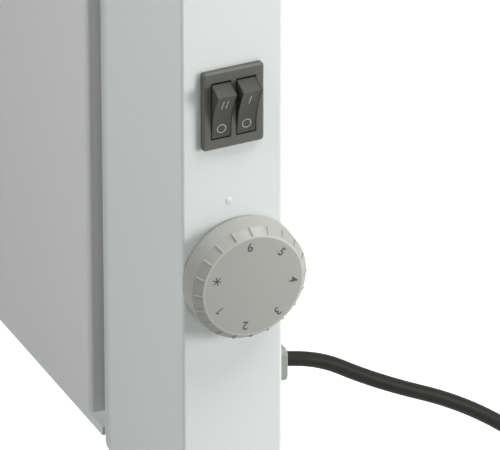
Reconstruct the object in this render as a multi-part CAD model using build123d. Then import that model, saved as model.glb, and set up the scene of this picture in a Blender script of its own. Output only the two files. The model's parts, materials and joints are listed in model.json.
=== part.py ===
from build123d import *
import os
from math import ceil, cos, pi, radians, sin, sqrt, tan

os.makedirs("parts", exist_ok=True)

# Convector heater, rest pose: thermostat at 6, both rockers off.
# Millimetres. +X is the control side, the front faces -Y, +Z is up, the floor is z = 0.

# casing
casing_width = 600.0        # over both side faces
casing_depth = 44.0         # front of the columns to the rear flange
casing_height = 356.0
ground_clearance = 44.0     # floor to the underside of the casing
sheet = 1.0                 # steel gauge
column_width = 86.0         # front of each end column
panel_setback = 2.5         # main front panel behind the columns
panel_groove_width = 13.0   # shadow groove between the main panel and a column
panel_groove_depth = 8.0
panel_edge_bend = 2.0       # outside radius, main panel to groove
corner_bend = 2.5           # outside radius, front to side
column_roll_width = 12.0    # soft rolled edge beside the groove, across the front
column_roll_depth = 6.0     # and towards the back
rear_bend = 1.5             # outside radius, side to rear flange
rear_flange = 24.0          # side sheet turned in at the rear
end_flange = 12.0           # top and bottom sheets turned down at the rear
fit_gap = 0.5               # between sheet parts that don't touch
panel_tuck = 14.0           # main front panel reaching in behind a column

# controls on the side face, placed from the mid depth and the underside
knob_offset = 3.1
knob_rise = 116.0
knob_face_radius = 21.9
knob_skirt_radius = 25.5
knob_skirt_top_radius = 24.9
knob_chamfer_radius = 24.5  # foot of the ribbed chamfer, inside the skirt's upper edge
knob_chamfer_drop = 3.5     # face to the foot of the chamfer
knob_height = 12.1
knob_gap = 0.5              # skirt to side face
knob_wall = 1.8
rib_count = 20
rib_width = 1.0
rib_proud = 0.8             # radially, above the chamfer
rib_end_slope = 0.5
knob_hub_radius = 5.5
switch_offset = -0.7
switch_rise = 192.0
bezel_width = 26.4
bezel_height = 34.3
bezel_thickness = 2.6
bezel_bevel = 0.7
pointer_offset = -1.7
pointer_rise = 149.5
pointer_radius = 1.3
pointer_proud = 0.6
pointer_round = 0.5

# rockers
rocker_opening = 8.7        # across, along Y
rocker_opening_height = 25.1
rocker_spacing = 10.9       # between the two rocker centres
rocker_side_gap = 0.3
rocker_pivot_depth = 2.5    # behind the bezel face
rocker_crest_out = 5.84     # crest from the pivot, square to the rocker
rocker_crest_half = 10.8
rocker_hollow_out = 4.3     # middle of the hollowed face from the pivot
rocker_end_in = 1.6         # foot of the end slope, behind the pivot
rocker_end_half = 11.95
rocker_tail = 3.2
rocker_tail_half = 8.5
rocker_stem = 8.0
rocker_stem_half = 2.0
rocker_tilt = 16.5          # each side of square
trunnion_radius = 1.2
trunnion_length = 0.7
switch_body_depth = 22.0
switch_cavity_depth = 16.0
switch_body_width = 21.6
switch_body_height = 29.0
cutout_gap = 0.3
tab_width = 6.3
tab_thickness = 0.8
tab_length = 8.0

# thermostat
shaft_radius = 3.0
shaft_clearance = 0.05
shaft_inside = 10.0
shaft_outside = 8.5
shaft_flat = 0.8            # cut off the round at the driven end
thermostat_depth = 18.0
thermostat_width = 28.0
thermostat_tab_spacing = 14.0
thermostat_height = 40.0
thermostat_neck_radius = 5.0
thermostat_screw_spacing = 28.0
capillary_radius = 0.8
bulb_radius = 3.0
bulb_length = 44.5
bulb_drop = 31.0            # case to the upper end of the bulb
bulb_offset = 7.0           # towards the front from the shaft
bulb_clip_length = 7.0

# grilles
grille_rim = 4.0            # thickness of the grille frames
front_fold = 8.0            # top and bottom folds of the main front panel
rear_fold = 9.0             # top and bottom folds of the rear panel
grille_end = 16.0
blade_count = 4
blade_thickness = 1.3
blade_depth = 9.0
blade_lean = 3.4
blade_rib_count = 8
blade_rib = 1.6
inlet_slot_count = 28
inlet_slot_long = 11.0
inlet_slot_short = 6.0
vent_slot_count = 14
vent_slot_long = 20.0
vent_slot_short = 3.0
vent_pitch = 28.0
keyhole_spacing = 300.0
keyhole_drop = 60.0
keyhole_radius = 5.0
keyhole_neck = 5.0
keyhole_rise = 10.0
spacer_hole_drop = 165.0
spacer_hole_radius = 2.75

# heating element
partition_inset = 2.0
partition_flange = 11.0
element_rise = 62.0
leg_pitch = 32.0
tube_radius = 4.25
tube_left_inset = 40.0      # step of the left column to the centre of the hairpin
tube_past_partition = 16.0
fin_margin = 22.0           # bend or partition to the nearest fin, at least
fin_pitch = 11.0
fin_thickness = 0.6
fin_width = 27.0
fin_height = 62.0
bush_radius = 6.0
bush_flange_radius = 8.5
bush_flange = 1.6
bush_length = 7.0
bush_gap = 0.1
hanger_plate = 1.2
hanger_height = 52.0
hanger_foot = 12.0
reflector_gap = 2.4
reflector_gauge = 0.6
reflector_height = 140.0

# parts in the control space
cutout_radius = 8.0
cutout_length = 7.0
cutout_ear_half = 14.4      # along Z, from the middle to the end of a fixing ear
cutout_ear_width = 9.6
cutout_rise = 58.0
tilt_width = 22.0
tilt_height = 26.0
tilt_depth = 14.0
tilt_rise = 22.0
block_width = 28.0
block_depth = 14.0
block_height = 18.0
block_rise = 84.0

# mains lead
cord_radius = 3.15
cord_inset = 12.0           # cord axis inside the side face
cord_rise = 65.0            # cord axis above the underside
cord_inside = 9.0           # sheath end in front of the rear flange
gland_width = 16.0
gland_height = 15.0
gland_proud = 4.6
gland_round = 3.0
gland_neck_radius = 5.6
gland_hole_gap = 0.2
gland_nut_flats = 15.0
gland_nut_thickness = 4.0
floor_gap = 0.05

# put-away coil: two layers, in on the floor and out on top
coil_turns = 2.5            # in each layer
coil_outer_radius = 44.0
coil_pitch = 6.9            # turn to turn, and layer to layer
coil_centre_y = 228.0
coil_pieces_per_turn = 4

# plug
plug_radius = 18.0
plug_length = 40.0
plug_neck_radius = 6.5
plug_neck_length = 14.0
plug_neck_flare = 2.0       # neck radius gained towards the body
plug_shoulder = 10.0        # length of the cone from the neck to the full radius
plug_round = 3.0
plug_nose_round = 1.2
plug_groove_count = 3       # round the neck, so that it bends
plug_groove = 1.4
plug_groove_pitch = 3.4
plug_pin_radius = 2.4
plug_pin_length = 19.0
plug_pin_spacing = 19.0
earth_width = 6.0
earth_length = 14.0
earth_thickness = 0.8
earth_recess = 1.0

# feet
foot_width = 34.0
foot_reach = 100.0
foot_tip_height = 9.0
foot_shoulder_height = 18.0
foot_top_half = 21.0
foot_sole = 2.0
foot_pad_inset = 3.0
foot_pad_length = 20.0
foot_pad_thickness = 3.0
foot_arch_rise = 14.0
foot_pad_span = 26.0
foot_edge_round = 1.6
foot_screw_spacing = 26.0
screw_radius = 1.9
screw_hole_gap = 0.25
screw_head_radius = 4.0
screw_head_height = 2.6
nut_side = 7.0
nut_thickness = 2.5
rear_screw_radius = 1.6
rear_screw_length = 6.0
rear_screw_count = 3

# places worked out from the sizes
knob_reach = knob_gap + knob_height
side_x = casing_width / 2 - knob_reach / 2
far_x = side_x - casing_width
middle_x = (side_x + far_x) / 2
front_y = -casing_depth / 2
back_y = casing_depth / 2
base_z = ground_clearance
top_z = base_z + casing_height
right_step = side_x - column_width
left_step = far_x + column_width
panel_y = front_y + panel_setback
panel_base = base_z + grille_rim
panel_top = top_z - grille_rim
inner_front = panel_y + sheet
groove_y = panel_y + panel_groove_depth
groove_back = groove_y + sheet
rear_panel_y = back_y - sheet
inner_back = rear_panel_y - sheet
channel_y = (inner_front + inner_back) / 2
inner_side = side_x - sheet
knob_z = base_z + knob_rise
switch_z = base_z + switch_rise
bezel_face = side_x + bezel_thickness
pivot_x = bezel_face - rocker_pivot_depth
web_x = right_step + partition_inset
element_z = base_z + element_rise
cord_x = side_x - cord_inset
cord_z = base_z + cord_rise
hairpin_x = left_step + tube_left_inset


def block(x0, x1, y0, y1, z0, z1):
    return Pos((x0 + x1) / 2, (y0 + y1) / 2, (z0 + z1) / 2) * Box(x1 - x0, y1 - y0, z1 - z0)


def rod_x(x0, x1, y, z, radius):
    return Pos((x0 + x1) / 2, y, z) * Rot(0, 90, 0) * Cylinder(radius, x1 - x0)


def rod_y(y0, y1, x, z, radius):
    return Pos(x, (y0 + y1) / 2, z) * Rot(90, 0, 0) * Cylinder(radius, y1 - y0)


def rod_z(z0, z1, x, y, radius):
    return Pos(x, y, (z0 + z1) / 2) * Cylinder(radius, z1 - z0)


def upright(sketch, z0, z1):
    return extrude(Pos(0, 0, z0) * sketch, z1 - z0)


def corner_at(sketch, x, y):
    return min(sketch.vertices(), key=lambda v: (v.X - x) ** 2 + (v.Y - y) ** 2)


def mirrored(shape):
    return mirror(shape, about=Plane.YZ.offset(middle_x))


# plan of an end column, inset by the sheet for its inside
def column_plan(inset):
    x0 = right_step + inset
    x1 = side_x - inset
    y0 = front_y + inset
    y1 = back_y - inset
    plan = Pos((x0 + x1) / 2, (y0 + y1) / 2) * Rectangle(x1 - x0, y1 - y0)
    plan = fillet(corner_at(plan, x1, y0), corner_bend - inset)
    roll_width = column_roll_width - inset
    roll_depth = column_roll_depth - inset
    roll = Pos(x0 + roll_width, y0 + roll_depth) * Ellipse(roll_width, roll_depth)
    corner = Pos(x0 + roll_width / 2, y0 + roll_depth / 2) * Rectangle(roll_width, roll_depth)
    plan -= corner - roll
    return fillet(corner_at(plan, x1, y1), rear_bend - inset)


# folded sheet column with its lids, open behind and towards the main panel
def end_column():
    shell = upright(column_plan(0), base_z, top_z)
    shell -= upright(column_plan(sheet), base_z + sheet, top_z - sheet)
    shell -= block(right_step - fit_gap, side_x - rear_flange, rear_panel_y - fit_gap,
                   back_y + fit_gap, base_z + end_flange, top_z - end_flange)
    shell -= block(right_step - fit_gap, right_step + sheet + fit_gap, groove_y, rear_panel_y,
                   base_z + sheet, top_z - sheet)
    for z in rear_screw_heights():
        shell -= rod_y(rear_panel_y - fit_gap, back_y + fit_gap, rear_screw_x(), z,
                       rear_screw_radius + screw_hole_gap)
    for y in foot_screw_places():
        shell -= rod_z(base_z - fit_gap, base_z + sheet + fit_gap, column_middle(), y,
                       screw_radius + screw_hole_gap)
    return shell


def column_middle():
    return side_x - column_width / 2


def foot_screw_places():
    return [-foot_screw_spacing / 2, foot_screw_spacing / 2]


def rear_screw_x():
    return side_x - rear_flange + end_flange / 2


def rear_screw_heights():
    low = base_z + end_flange * 2
    high = top_z - end_flange * 2
    return [low + (high - low) * i / (rear_screw_count - 1) for i in range(rear_screw_count)]


def thermostat_screw_places():
    return [knob_z - thermostat_screw_spacing / 2, knob_z + thermostat_screw_spacing / 2]


# the control side: shaft hole, screw holes, switch cut-out and pressed pointer
def right_casing():
    shell = end_column()
    shell -= rod_x(inner_side - fit_gap, side_x + fit_gap, knob_offset, knob_z,
                   thermostat_neck_radius + cutout_gap)
    for z in thermostat_screw_places():
        shell -= rod_x(inner_side - fit_gap, side_x + fit_gap, knob_offset, z,
                       rear_screw_radius + screw_hole_gap)
    half_width = switch_body_width / 2 + cutout_gap
    half_height = switch_body_height / 2 + cutout_gap
    shell -= block(inner_side - fit_gap, side_x + fit_gap, switch_offset - half_width,
                   switch_offset + half_width, switch_z - half_height, switch_z + half_height)
    shell -= rod_y(rear_panel_y - fit_gap, back_y + fit_gap, cord_x, cord_z,
                   gland_neck_radius + gland_hole_gap)
    return shell + pointer_dome()


# low round bump pressed out of the side, above the knob
def pointer_dome():
    bump = rod_x(side_x - sheet / 2, side_x + pointer_proud, pointer_offset,
                 base_z + pointer_rise, pointer_radius)
    return fillet(bump.faces().sort_by(Axis.X)[-1].edges(), pointer_round)


def left_casing():
    return mirrored(end_column())


# main front panel: folded along the top and the bottom, and bent back at both ends into
# a groove that runs in behind the column
def front_panel():
    edge_x = right_step - panel_groove_width
    half = Polygon((middle_x, panel_y), (edge_x, panel_y), (edge_x, groove_y),
                   (right_step + panel_tuck, groove_y), (right_step + panel_tuck, groove_back),
                   (edge_x - sheet, groove_back), (edge_x - sheet, inner_front),
                   (middle_x, inner_front), align=None)
    half = fillet(corner_at(half, edge_x, panel_y), panel_edge_bend)
    half = fillet(corner_at(half, edge_x - sheet, inner_front), panel_edge_bend - sheet)
    panel = upright(half, panel_base, panel_top)
    fold_x = edge_x - panel_edge_bend
    for z in (panel_base, panel_top - sheet):
        panel += block(middle_x, fold_x, panel_y, panel_y + front_fold, z, z + sheet)
    return panel + mirrored(panel)


# rear panel: folds, keyholes for a wall, inlet slots and the hole for the cord
def rear_panel():
    x0 = left_step + fit_gap
    x1 = right_step - fit_gap
    panel = block(far_x + sheet + fit_gap, side_x - sheet - fit_gap, inner_back, rear_panel_y,
                  panel_base, panel_top)
    fold_y = rear_panel_y - rear_fold
    panel += block(x0, x1, fold_y, rear_panel_y, panel_top - sheet, panel_top)
    panel += block(x0, x1, fold_y, rear_panel_y, panel_base, panel_base + sheet)
    y0 = inner_back - fit_gap
    y1 = rear_panel_y + fit_gap
    for side in (-1, 1):
        x = middle_x + side * keyhole_spacing / 2
        z = top_z - keyhole_drop
        panel -= rod_y(y0, y1, x, z, keyhole_radius)
        panel -= rod_y(y0, y1, x, z + keyhole_rise, keyhole_neck / 2)
        panel -= block(x - keyhole_neck / 2, x + keyhole_neck / 2, y0, y1, z, z + keyhole_rise)
        panel -= rod_y(y0, y1, x, top_z - spacer_hole_drop, spacer_hole_radius)
    for row in range(2):
        z = panel_base + vent_slot_short * 4 + row * vent_slot_short * 3
        for i in range(vent_slot_count):
            x = middle_x + (i - (vent_slot_count - 1) / 2) * vent_pitch
            panel -= block(x - vent_slot_long / 2, x + vent_slot_long / 2, y0, y1,
                           z, z + vent_slot_short)
    panel -= rod_y(y0, y1, cord_x, cord_z, gland_neck_radius + gland_hole_gap)
    holes = [rod_y(y0, y1, rear_screw_x(), z, rear_screw_radius + screw_hole_gap)
             for z in rear_screw_heights()]
    for hole in holes:
        panel -= hole
        panel -= mirrored(hole)
    return panel


# outlet grille: a rim on the folds, and leaning blades in a shallow well
def outlet_grille():
    x0 = left_step + fit_gap
    x1 = right_step - fit_gap
    well_front = panel_y + front_fold + fit_gap
    well_back = rear_panel_y - rear_fold - fit_gap
    well_x0 = x0 + grille_end
    well_x1 = x1 - grille_end
    low = top_z - blade_depth
    rim = block(x0, x1, panel_y, rear_panel_y, panel_top, top_z)
    rim += block(well_x0, well_x1, well_front, well_back, low, top_z)
    wall = blade_rib
    inner_x0 = well_x0 + wall
    inner_x1 = well_x1 - wall
    inner_y0 = well_front + wall
    inner_y1 = well_back - wall
    rim -= block(inner_x0, inner_x1, inner_y0, inner_y1, low - fit_gap, top_z + fit_gap)
    pitch = (inner_y1 - inner_y0) / (blade_count + 0.5)
    for i in range(blade_count):
        y = inner_y0 + pitch * (i + 0.25)
        blade = Polygon((y, top_z - fit_gap), (y + blade_thickness, top_z - fit_gap),
                        (y + blade_thickness + blade_lean, low), (y + blade_lean, low),
                        align=None)
        rim += extrude(Plane.YZ.offset(inner_x0) * blade, inner_x1 - inner_x0, dir=(1, 0, 0))
    step = (inner_x1 - inner_x0) / (blade_rib_count + 1)
    for i in range(blade_rib_count):
        x = inner_x0 + step * (i + 1)
        rim += block(x - blade_rib / 2, x + blade_rib / 2, inner_y0, inner_y1,
                     low, top_z - fit_gap * 2)
    return rim


# inlet grille: a flat frame under the folds with two rows of slots
def inlet_grille():
    x0 = left_step + fit_gap
    x1 = right_step - fit_gap
    grille = block(x0, x1, panel_y, rear_panel_y, base_z, panel_base)
    pitch = (x1 - x0 - 2 * grille_end) / inlet_slot_count
    middle = (panel_y + front_fold + rear_panel_y - rear_fold) / 2
    for i in range(inlet_slot_count):
        x = x0 + grille_end + pitch * (i + 0.5)
        for side in (-1, 1):
            y = middle + side * inlet_slot_short * 0.75
            grille -= block(x - inlet_slot_long / 2, x + inlet_slot_long / 2,
                            y - inlet_slot_short / 2, y + inlet_slot_short / 2,
                            base_z - fit_gap, panel_base + fit_gap)
    return grille


# channel-shaped wall between the warm middle and the control space
def partition():
    z0 = panel_base + sheet + fit_gap
    z1 = panel_top - sheet - fit_gap
    wall = block(web_x, web_x + sheet, groove_back, inner_back, z0, z1)
    wall += block(web_x, web_x + partition_flange, groove_back, groove_back + sheet, z0, z1)
    wall += block(web_x, web_x + partition_flange, inner_back - sheet, inner_back, z0, z1)
    return wall


def leg_heights():
    return [element_z - leg_pitch / 2, element_z + leg_pitch / 2]


def right_partition():
    wall = partition()
    for z in leg_heights():
        wall -= rod_x(web_x - fit_gap, web_x + sheet + fit_gap, channel_y, z,
                      bush_radius + bush_gap)
    return wall


def left_partition():
    return mirrored(partition())


# hairpin: out along the lower leg, round the bend and back along the upper one
def heating_tube():
    low, high = leg_heights()
    end_x = web_x + sheet + tube_past_partition
    bend = leg_pitch / 2
    path = Wire([
        Line((end_x, channel_y, low), (hairpin_x, channel_y, low)),
        ThreePointArc((hairpin_x, channel_y, low), (hairpin_x - bend, channel_y, element_z),
                      (hairpin_x, channel_y, high)),
        Line((hairpin_x, channel_y, high), (end_x, channel_y, high)),
    ])
    start = Plane(origin=(end_x, channel_y, low), z_dir=(-1, 0, 0))
    return sweep(start * Circle(tube_radius), path=path)


def fin_places():
    middle = (hairpin_x + web_x) / 2
    count = int((web_x - hairpin_x - 2 * fin_margin) / fin_pitch) + 1
    return [middle + (i - (count - 1) / 2) * fin_pitch for i in range(count)]


# plain rectangular fins pressed on both legs
def heating_fins():
    fin = Rectangle(fin_width, fin_height)
    for side in (-1, 1):
        fin -= Pos(0, side * leg_pitch / 2) * Circle(tube_radius)
    plate = extrude(Plane.YZ * fin, fin_thickness / 2, both=True)
    return Compound(children=[Pos(x, channel_y, element_z) * plate for x in fin_places()])


# flanged sleeves that carry the legs through the partition
def tube_bushes():
    bushes = []
    for z in leg_heights():
        bush = rod_x(web_x - bush_flange, web_x, channel_y, z, bush_flange_radius)
        bush += rod_x(web_x, web_x + bush_length, channel_y, z, bush_radius)
        bush -= rod_x(web_x - bush_flange - fit_gap, web_x + bush_length + fit_gap,
                      channel_y, z, tube_radius)
        bushes.append(bush)
    return Compound(children=bushes)


# bracket that holds the bend end on the rear panel
def tube_hanger():
    x0 = hairpin_x + hanger_plate
    x1 = x0 + hanger_plate
    plate = block(x0, x1, channel_y - bush_flange_radius, inner_back,
                  element_z - hanger_height / 2, element_z + hanger_height / 2)
    for z in leg_heights():
        plate -= rod_x(x0 - fit_gap, x1 + fit_gap, channel_y, z, tube_radius)
    plate += block(x0, x0 + hanger_foot, inner_back - hanger_plate, inner_back,
                   element_z - hanger_height / 2, element_z + hanger_height / 2)
    return plate


# blade ends of the cold leads, standing in the tube's ends
def tube_terminals():
    end_x = web_x + sheet + tube_past_partition
    return Compound(children=[
        block(end_x, end_x + tab_length, channel_y - tab_width / 2, channel_y + tab_width / 2,
              z - tab_thickness / 2, z + tab_thickness / 2)
        for z in leg_heights()])


# bright sheet behind the fins, on two turned-back edges
def heat_reflector():
    x0 = hairpin_x + hanger_plate + hanger_foot + fit_gap * 4
    x1 = web_x - bush_flange_radius
    z0 = element_z - fin_height / 2 - fit_gap * 8
    z1 = z0 + reflector_height
    y0 = inner_back - reflector_gap
    tray = block(x0, x1, y0, y0 + reflector_gauge, z0, z1)
    tray += block(x0, x1, y0, inner_back, z0, z0 + reflector_gauge)
    tray += block(x0, x1, y0, inner_back, z1 - reflector_gauge, z1)
    return tray


# thermostat case with the neck that passes the side face
def thermostat_body():
    x0 = inner_side - thermostat_depth
    case = block(x0, inner_side, knob_offset - thermostat_width / 2,
                 knob_offset + thermostat_width / 2, knob_z - thermostat_height / 2,
                 knob_z + thermostat_height / 2)
    case += rod_x(inner_side, side_x, knob_offset, knob_z, thermostat_neck_radius)
    case -= rod_x(inner_side - shaft_inside - fit_gap, side_x + fit_gap, knob_offset, knob_z,
                  shaft_radius + shaft_clearance)
    for z in thermostat_screw_places():
        case -= rod_x(inner_side - rear_screw_length, inner_side + fit_gap, knob_offset, z,
                      rear_screw_radius)
    return case


def thermostat_shaft():
    end_x = side_x + shaft_outside
    shaft = rod_x(inner_side - shaft_inside, end_x, knob_offset, knob_z, shaft_radius)
    flat_y = knob_offset + shaft_radius - shaft_flat
    shaft -= block(side_x + knob_gap * 2, end_x + fit_gap, flat_y, flat_y + shaft_radius,
                   knob_z - shaft_radius, knob_z + shaft_radius)
    return shaft


def thermostat_tabs():
    x1 = inner_side - thermostat_depth
    tabs = []
    for side in (-1, 1):
        y = knob_offset + side * thermostat_tab_spacing / 2
        tabs.append(block(x1 - tab_length, x1, y - tab_width / 2, y + tab_width / 2,
                          knob_z - tab_thickness / 2, knob_z + tab_thickness / 2))
    return Compound(children=tabs)


# button-head screws under the knob
def thermostat_screws():
    screws = []
    for z in thermostat_screw_places():
        screw = rod_x(side_x, side_x + rear_screw_radius, knob_offset, z, rear_screw_radius * 2)
        screw += rod_x(side_x - rear_screw_length + sheet, side_x, knob_offset, z,
                       rear_screw_radius)
        screws.append(screw)
    return Compound(children=screws)


# thin capillary from the case down to the sensing bulb
def sensing_bulb():
    x0 = inner_side - thermostat_depth / 2
    y0 = knob_offset - bulb_offset
    z0 = knob_z - thermostat_height / 2
    bulb_z = z0 - bulb_drop
    bulb = rod_z(bulb_z - bulb_length, bulb_z, x0, y0, bulb_radius)
    return bulb + rod_z(bulb_z, z0, x0, y0, capillary_radius)


# spring clip on the side face that holds the bulb
def bulb_clip():
    x0 = inner_side - thermostat_depth / 2
    y0 = knob_offset - bulb_offset
    z1 = knob_z - thermostat_height / 2 - bulb_drop - bulb_radius
    z0 = z1 - bulb_clip_length
    clip = block(x0, inner_side, y0 - sheet / 2, y0 + sheet / 2, z0, z1)
    clip += rod_z(z0, z1, x0, y0, bulb_radius + sheet)
    clip -= rod_z(z0 - fit_gap, z1 + fit_gap, x0, y0, bulb_radius)
    return clip


# radius of the ribbed chamfer at a height above the skirt's lower edge
def knob_chamfer(height):
    fall = knob_chamfer_radius - knob_face_radius
    return knob_face_radius + fall * (knob_height - height) / knob_chamfer_drop


# rib on the chamfer, from the skirt's upper edge to just below the face
def knob_rib(angle):
    low = knob_height - knob_chamfer_drop
    high = knob_height - fit_gap / 2
    outline = Polygon((low, knob_chamfer(low) - rib_width), (low, knob_skirt_top_radius),
                      (low + rib_proud, knob_chamfer(low + rib_proud) + rib_proud),
                      (high - rib_end_slope, knob_chamfer(high - rib_end_slope) + rib_proud),
                      (high, knob_chamfer(high) + fit_gap / 4),
                      (high, knob_chamfer(high) - rib_width), align=None)
    rib = extrude(Plane.XY * outline, rib_width / 2, both=True)
    return Rot(angle, 0, 0) * rib


# knob: hollow shell of a smooth skirt, a small ledge, a ribbed chamfer and a plain face
def knob():
    low = knob_height - knob_chamfer_drop
    outer = Polygon((0, 0), (0, knob_skirt_radius), (low, knob_skirt_top_radius),
                    (low, knob_chamfer_radius), (knob_height, knob_face_radius),
                    (knob_height, 0), align=None)
    outer = fillet(corner_at(outer, knob_height, knob_face_radius), fit_gap)
    body = revolve(outer, axis=Axis.X)
    inside = Polygon((-fit_gap, 0), (-fit_gap, knob_skirt_radius - knob_wall),
                     (knob_height - knob_wall, knob_face_radius - knob_wall),
                     (knob_height - knob_wall, 0), align=None)
    body -= revolve(inside, axis=Axis.X)
    body += rod_x(knob_gap, knob_height - knob_wall / 2, 0, 0, knob_hub_radius)
    bore_end = shaft_outside - knob_gap + shaft_clearance
    bore = rod_x(-knob_gap, bore_end, 0, 0, shaft_radius + shaft_clearance)
    flat_y = shaft_radius - shaft_flat + shaft_clearance
    bore -= block(knob_gap, knob_height, flat_y, flat_y + shaft_radius,
                  -knob_hub_radius, knob_hub_radius)
    body -= bore
    for i in range(rib_count):
        body += knob_rib(i * 360 / rib_count)
    return Pos(side_x + knob_gap, knob_offset, knob_z) * body


# switch body behind the side face and its bevelled bezel in front
def switch_housing():
    bezel = block(side_x, bezel_face, switch_offset - bezel_width / 2,
                  switch_offset + bezel_width / 2, switch_z - bezel_height / 2,
                  switch_z + bezel_height / 2)
    bezel = fillet(bezel.edges().filter_by(Axis.X), bezel_bevel * 2)
    bezel = chamfer(bezel.faces().sort_by(Axis.X)[-1].edges(), bezel_bevel)
    back_x = side_x - switch_body_depth
    body = bezel + block(back_x, side_x, switch_offset - switch_body_width / 2,
                         switch_offset + switch_body_width / 2,
                         switch_z - switch_body_height / 2, switch_z + switch_body_height / 2)
    for side in (-1, 1):
        latch_z = switch_z + side * (switch_body_height / 2 + cutout_gap)
        body += block(inner_side - tab_thickness * 4, inner_side,
                      switch_offset - tab_width / 2, switch_offset + tab_width / 2,
                      latch_z - tab_thickness, latch_z + tab_thickness)
        y = switch_offset + side * rocker_spacing / 2
        body -= block(side_x - switch_cavity_depth, bezel_face + fit_gap,
                      y - rocker_opening / 2, y + rocker_opening / 2,
                      switch_z - rocker_opening_height / 2, switch_z + rocker_opening_height / 2)
        half = rocker_opening / 2 + trunnion_length + shaft_clearance
        body -= rod_y(y - half, y + half, pivot_x, switch_z, trunnion_radius + shaft_clearance)
    return body


def switch_tabs():
    x1 = side_x - switch_body_depth
    tabs = []
    for side in (-1, 1):
        y = switch_offset + side * rocker_spacing / 2
        for end in (-1, 1):
            z = switch_z + end * rocker_opening_height / 4
            tabs.append(block(x1 - tab_length, x1, y - tab_thickness / 2, y + tab_thickness / 2,
                              z - tab_width / 2, z + tab_width / 2))
    return Compound(children=tabs)


# rocker: hollowed face between two crests, rounded ends, a stem and two trunnions
def rocker(y):
    outline = make_face(Wire([
        ThreePointArc((rocker_crest_out, rocker_crest_half), (rocker_hollow_out, 0),
                      (rocker_crest_out, -rocker_crest_half)),
        Line((rocker_crest_out, -rocker_crest_half), (-rocker_end_in, -rocker_end_half)),
        Line((-rocker_end_in, -rocker_end_half), (-rocker_tail, -rocker_tail_half)),
        Line((-rocker_tail, -rocker_tail_half), (-rocker_tail, rocker_tail_half)),
        Line((-rocker_tail, rocker_tail_half), (-rocker_end_in, rocker_end_half)),
        Line((-rocker_end_in, rocker_end_half), (rocker_crest_out, rocker_crest_half)),
    ]))
    half = rocker_opening / 2 - rocker_side_gap
    plane = Plane(origin=(0, 0, 0), x_dir=(1, 0, 0), z_dir=(0, -1, 0))
    body = extrude(plane * outline, half, both=True)
    body += block(-rocker_stem, -rocker_tail, -rocker_stem_half, rocker_stem_half,
                  -rocker_stem_half, rocker_stem_half)
    reach = rocker_opening / 2 + trunnion_length
    body += rod_y(-reach, reach, 0, 0, trunnion_radius)
    return Pos(pivot_x, y, switch_z) * Rot(0, rocker_tilt, 0) * body


def rocker_one():
    return rocker(switch_offset + rocker_spacing / 2)


def rocker_two():
    return rocker(switch_offset - rocker_spacing / 2)


# disc cut-out on the partition, above the bushes
def thermal_cutout():
    x0 = web_x + sheet
    z = element_z + cutout_rise
    body = rod_x(x0, x0 + cutout_length, channel_y, z, cutout_radius)
    return body + block(x0, x0 + sheet, channel_y - cutout_ear_width / 2,
                        channel_y + cutout_ear_width / 2, z - cutout_ear_half,
                        z + cutout_ear_half)


def cutout_tabs():
    x0 = web_x + sheet + cutout_length
    z = element_z + cutout_rise
    return Compound(children=[
        block(x0, x0 + tab_length, channel_y - tab_width / 2, channel_y + tab_width / 2,
              z + side * cutout_radius / 2 - tab_thickness / 2,
              z + side * cutout_radius / 2 + tab_thickness / 2)
        for side in (-1, 1)])


def tilt_switch():
    x0 = web_x + sheet
    z = base_z + tilt_rise
    y = (groove_back + inner_back) / 2
    body = block(x0, x0 + tilt_depth, y - tilt_width / 2, y + tilt_width / 2,
                 z - tilt_height / 2 + fit_gap, z + tilt_height / 2 + fit_gap)
    return fillet(body.edges().filter_by(Axis.X), sheet)


# three-way terminal block on the rear panel
def terminal_block():
    x0 = web_x + partition_flange + fit_gap * 4
    z0 = panel_base + block_rise
    body = block(x0, x0 + block_width, inner_back - block_depth, inner_back,
                 z0, z0 + block_height)
    pitch = block_width / 3
    for i in range(3):
        x = x0 + pitch * (i + 0.5)
        body -= rod_z(z0 - fit_gap, z0 + block_height + fit_gap, x,
                      inner_back - block_depth / 2, pitch / 4)
        body -= rod_y(inner_back - block_depth - fit_gap, inner_back - block_depth / 2,
                      x, z0 + block_height / 2, pitch / 4)
    return body


# gland: rounded block behind the rear flange with a neck through both sheets
def cord_gland():
    head = block(cord_x - gland_width / 2, cord_x + gland_width / 2, back_y,
                 back_y + gland_proud, cord_z - gland_height / 2, cord_z + gland_height / 2)
    head = fillet(head.edges().filter_by(Axis.Y), gland_round)
    head = fillet(head.faces().sort_by(Axis.Y)[-1].edges(), gland_round / 3)
    neck_y = inner_back - gland_nut_thickness
    head += rod_y(neck_y, back_y, cord_x, cord_z, gland_neck_radius)
    return head - rod_y(neck_y - fit_gap, back_y + gland_proud + fit_gap, cord_x, cord_z,
                        cord_radius)


def gland_nut():
    nut_y = inner_back - gland_nut_thickness
    hexagon = RegularPolygon(gland_nut_flats / 2, 6, major_radius=False)
    hexagon -= Circle(gland_neck_radius)
    plane = Plane(origin=(cord_x, nut_y, cord_z), x_dir=(1, 0, 0), z_dir=(0, 1, 0))
    return extrude(plane * hexagon, gland_nut_thickness)


def unit(v):
    return v * (1 / v.length)


# coil centreline: spiral in on the floor, a quarter turn of climb, spiral out on top
def coil_point(turn):
    climb = 0.25
    inner = coil_turns + climb / 2
    if turn < inner:
        radius = coil_outer_radius - coil_pitch * turn
    else:
        radius = coil_outer_radius - coil_pitch * inner + coil_pitch * (turn - inner)
    share = min(max((turn - coil_turns) / climb, 0), 1)
    z = cord_radius + floor_gap + coil_pitch * share * share * (3 - 2 * share)
    angle = 2 * pi * turn
    x = cord_x - coil_outer_radius + radius * cos(angle)
    return Vector(x, coil_centre_y + radius * sin(angle), z)


def coil_heading(turn):
    step = 0.0005
    last = coil_turn_total()
    start = max(turn - step, 0)
    end = min(turn + step, last)
    return unit(coil_point(end) - coil_point(start))


def coil_turn_total():
    return coil_turns * 2 + 0.25


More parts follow.
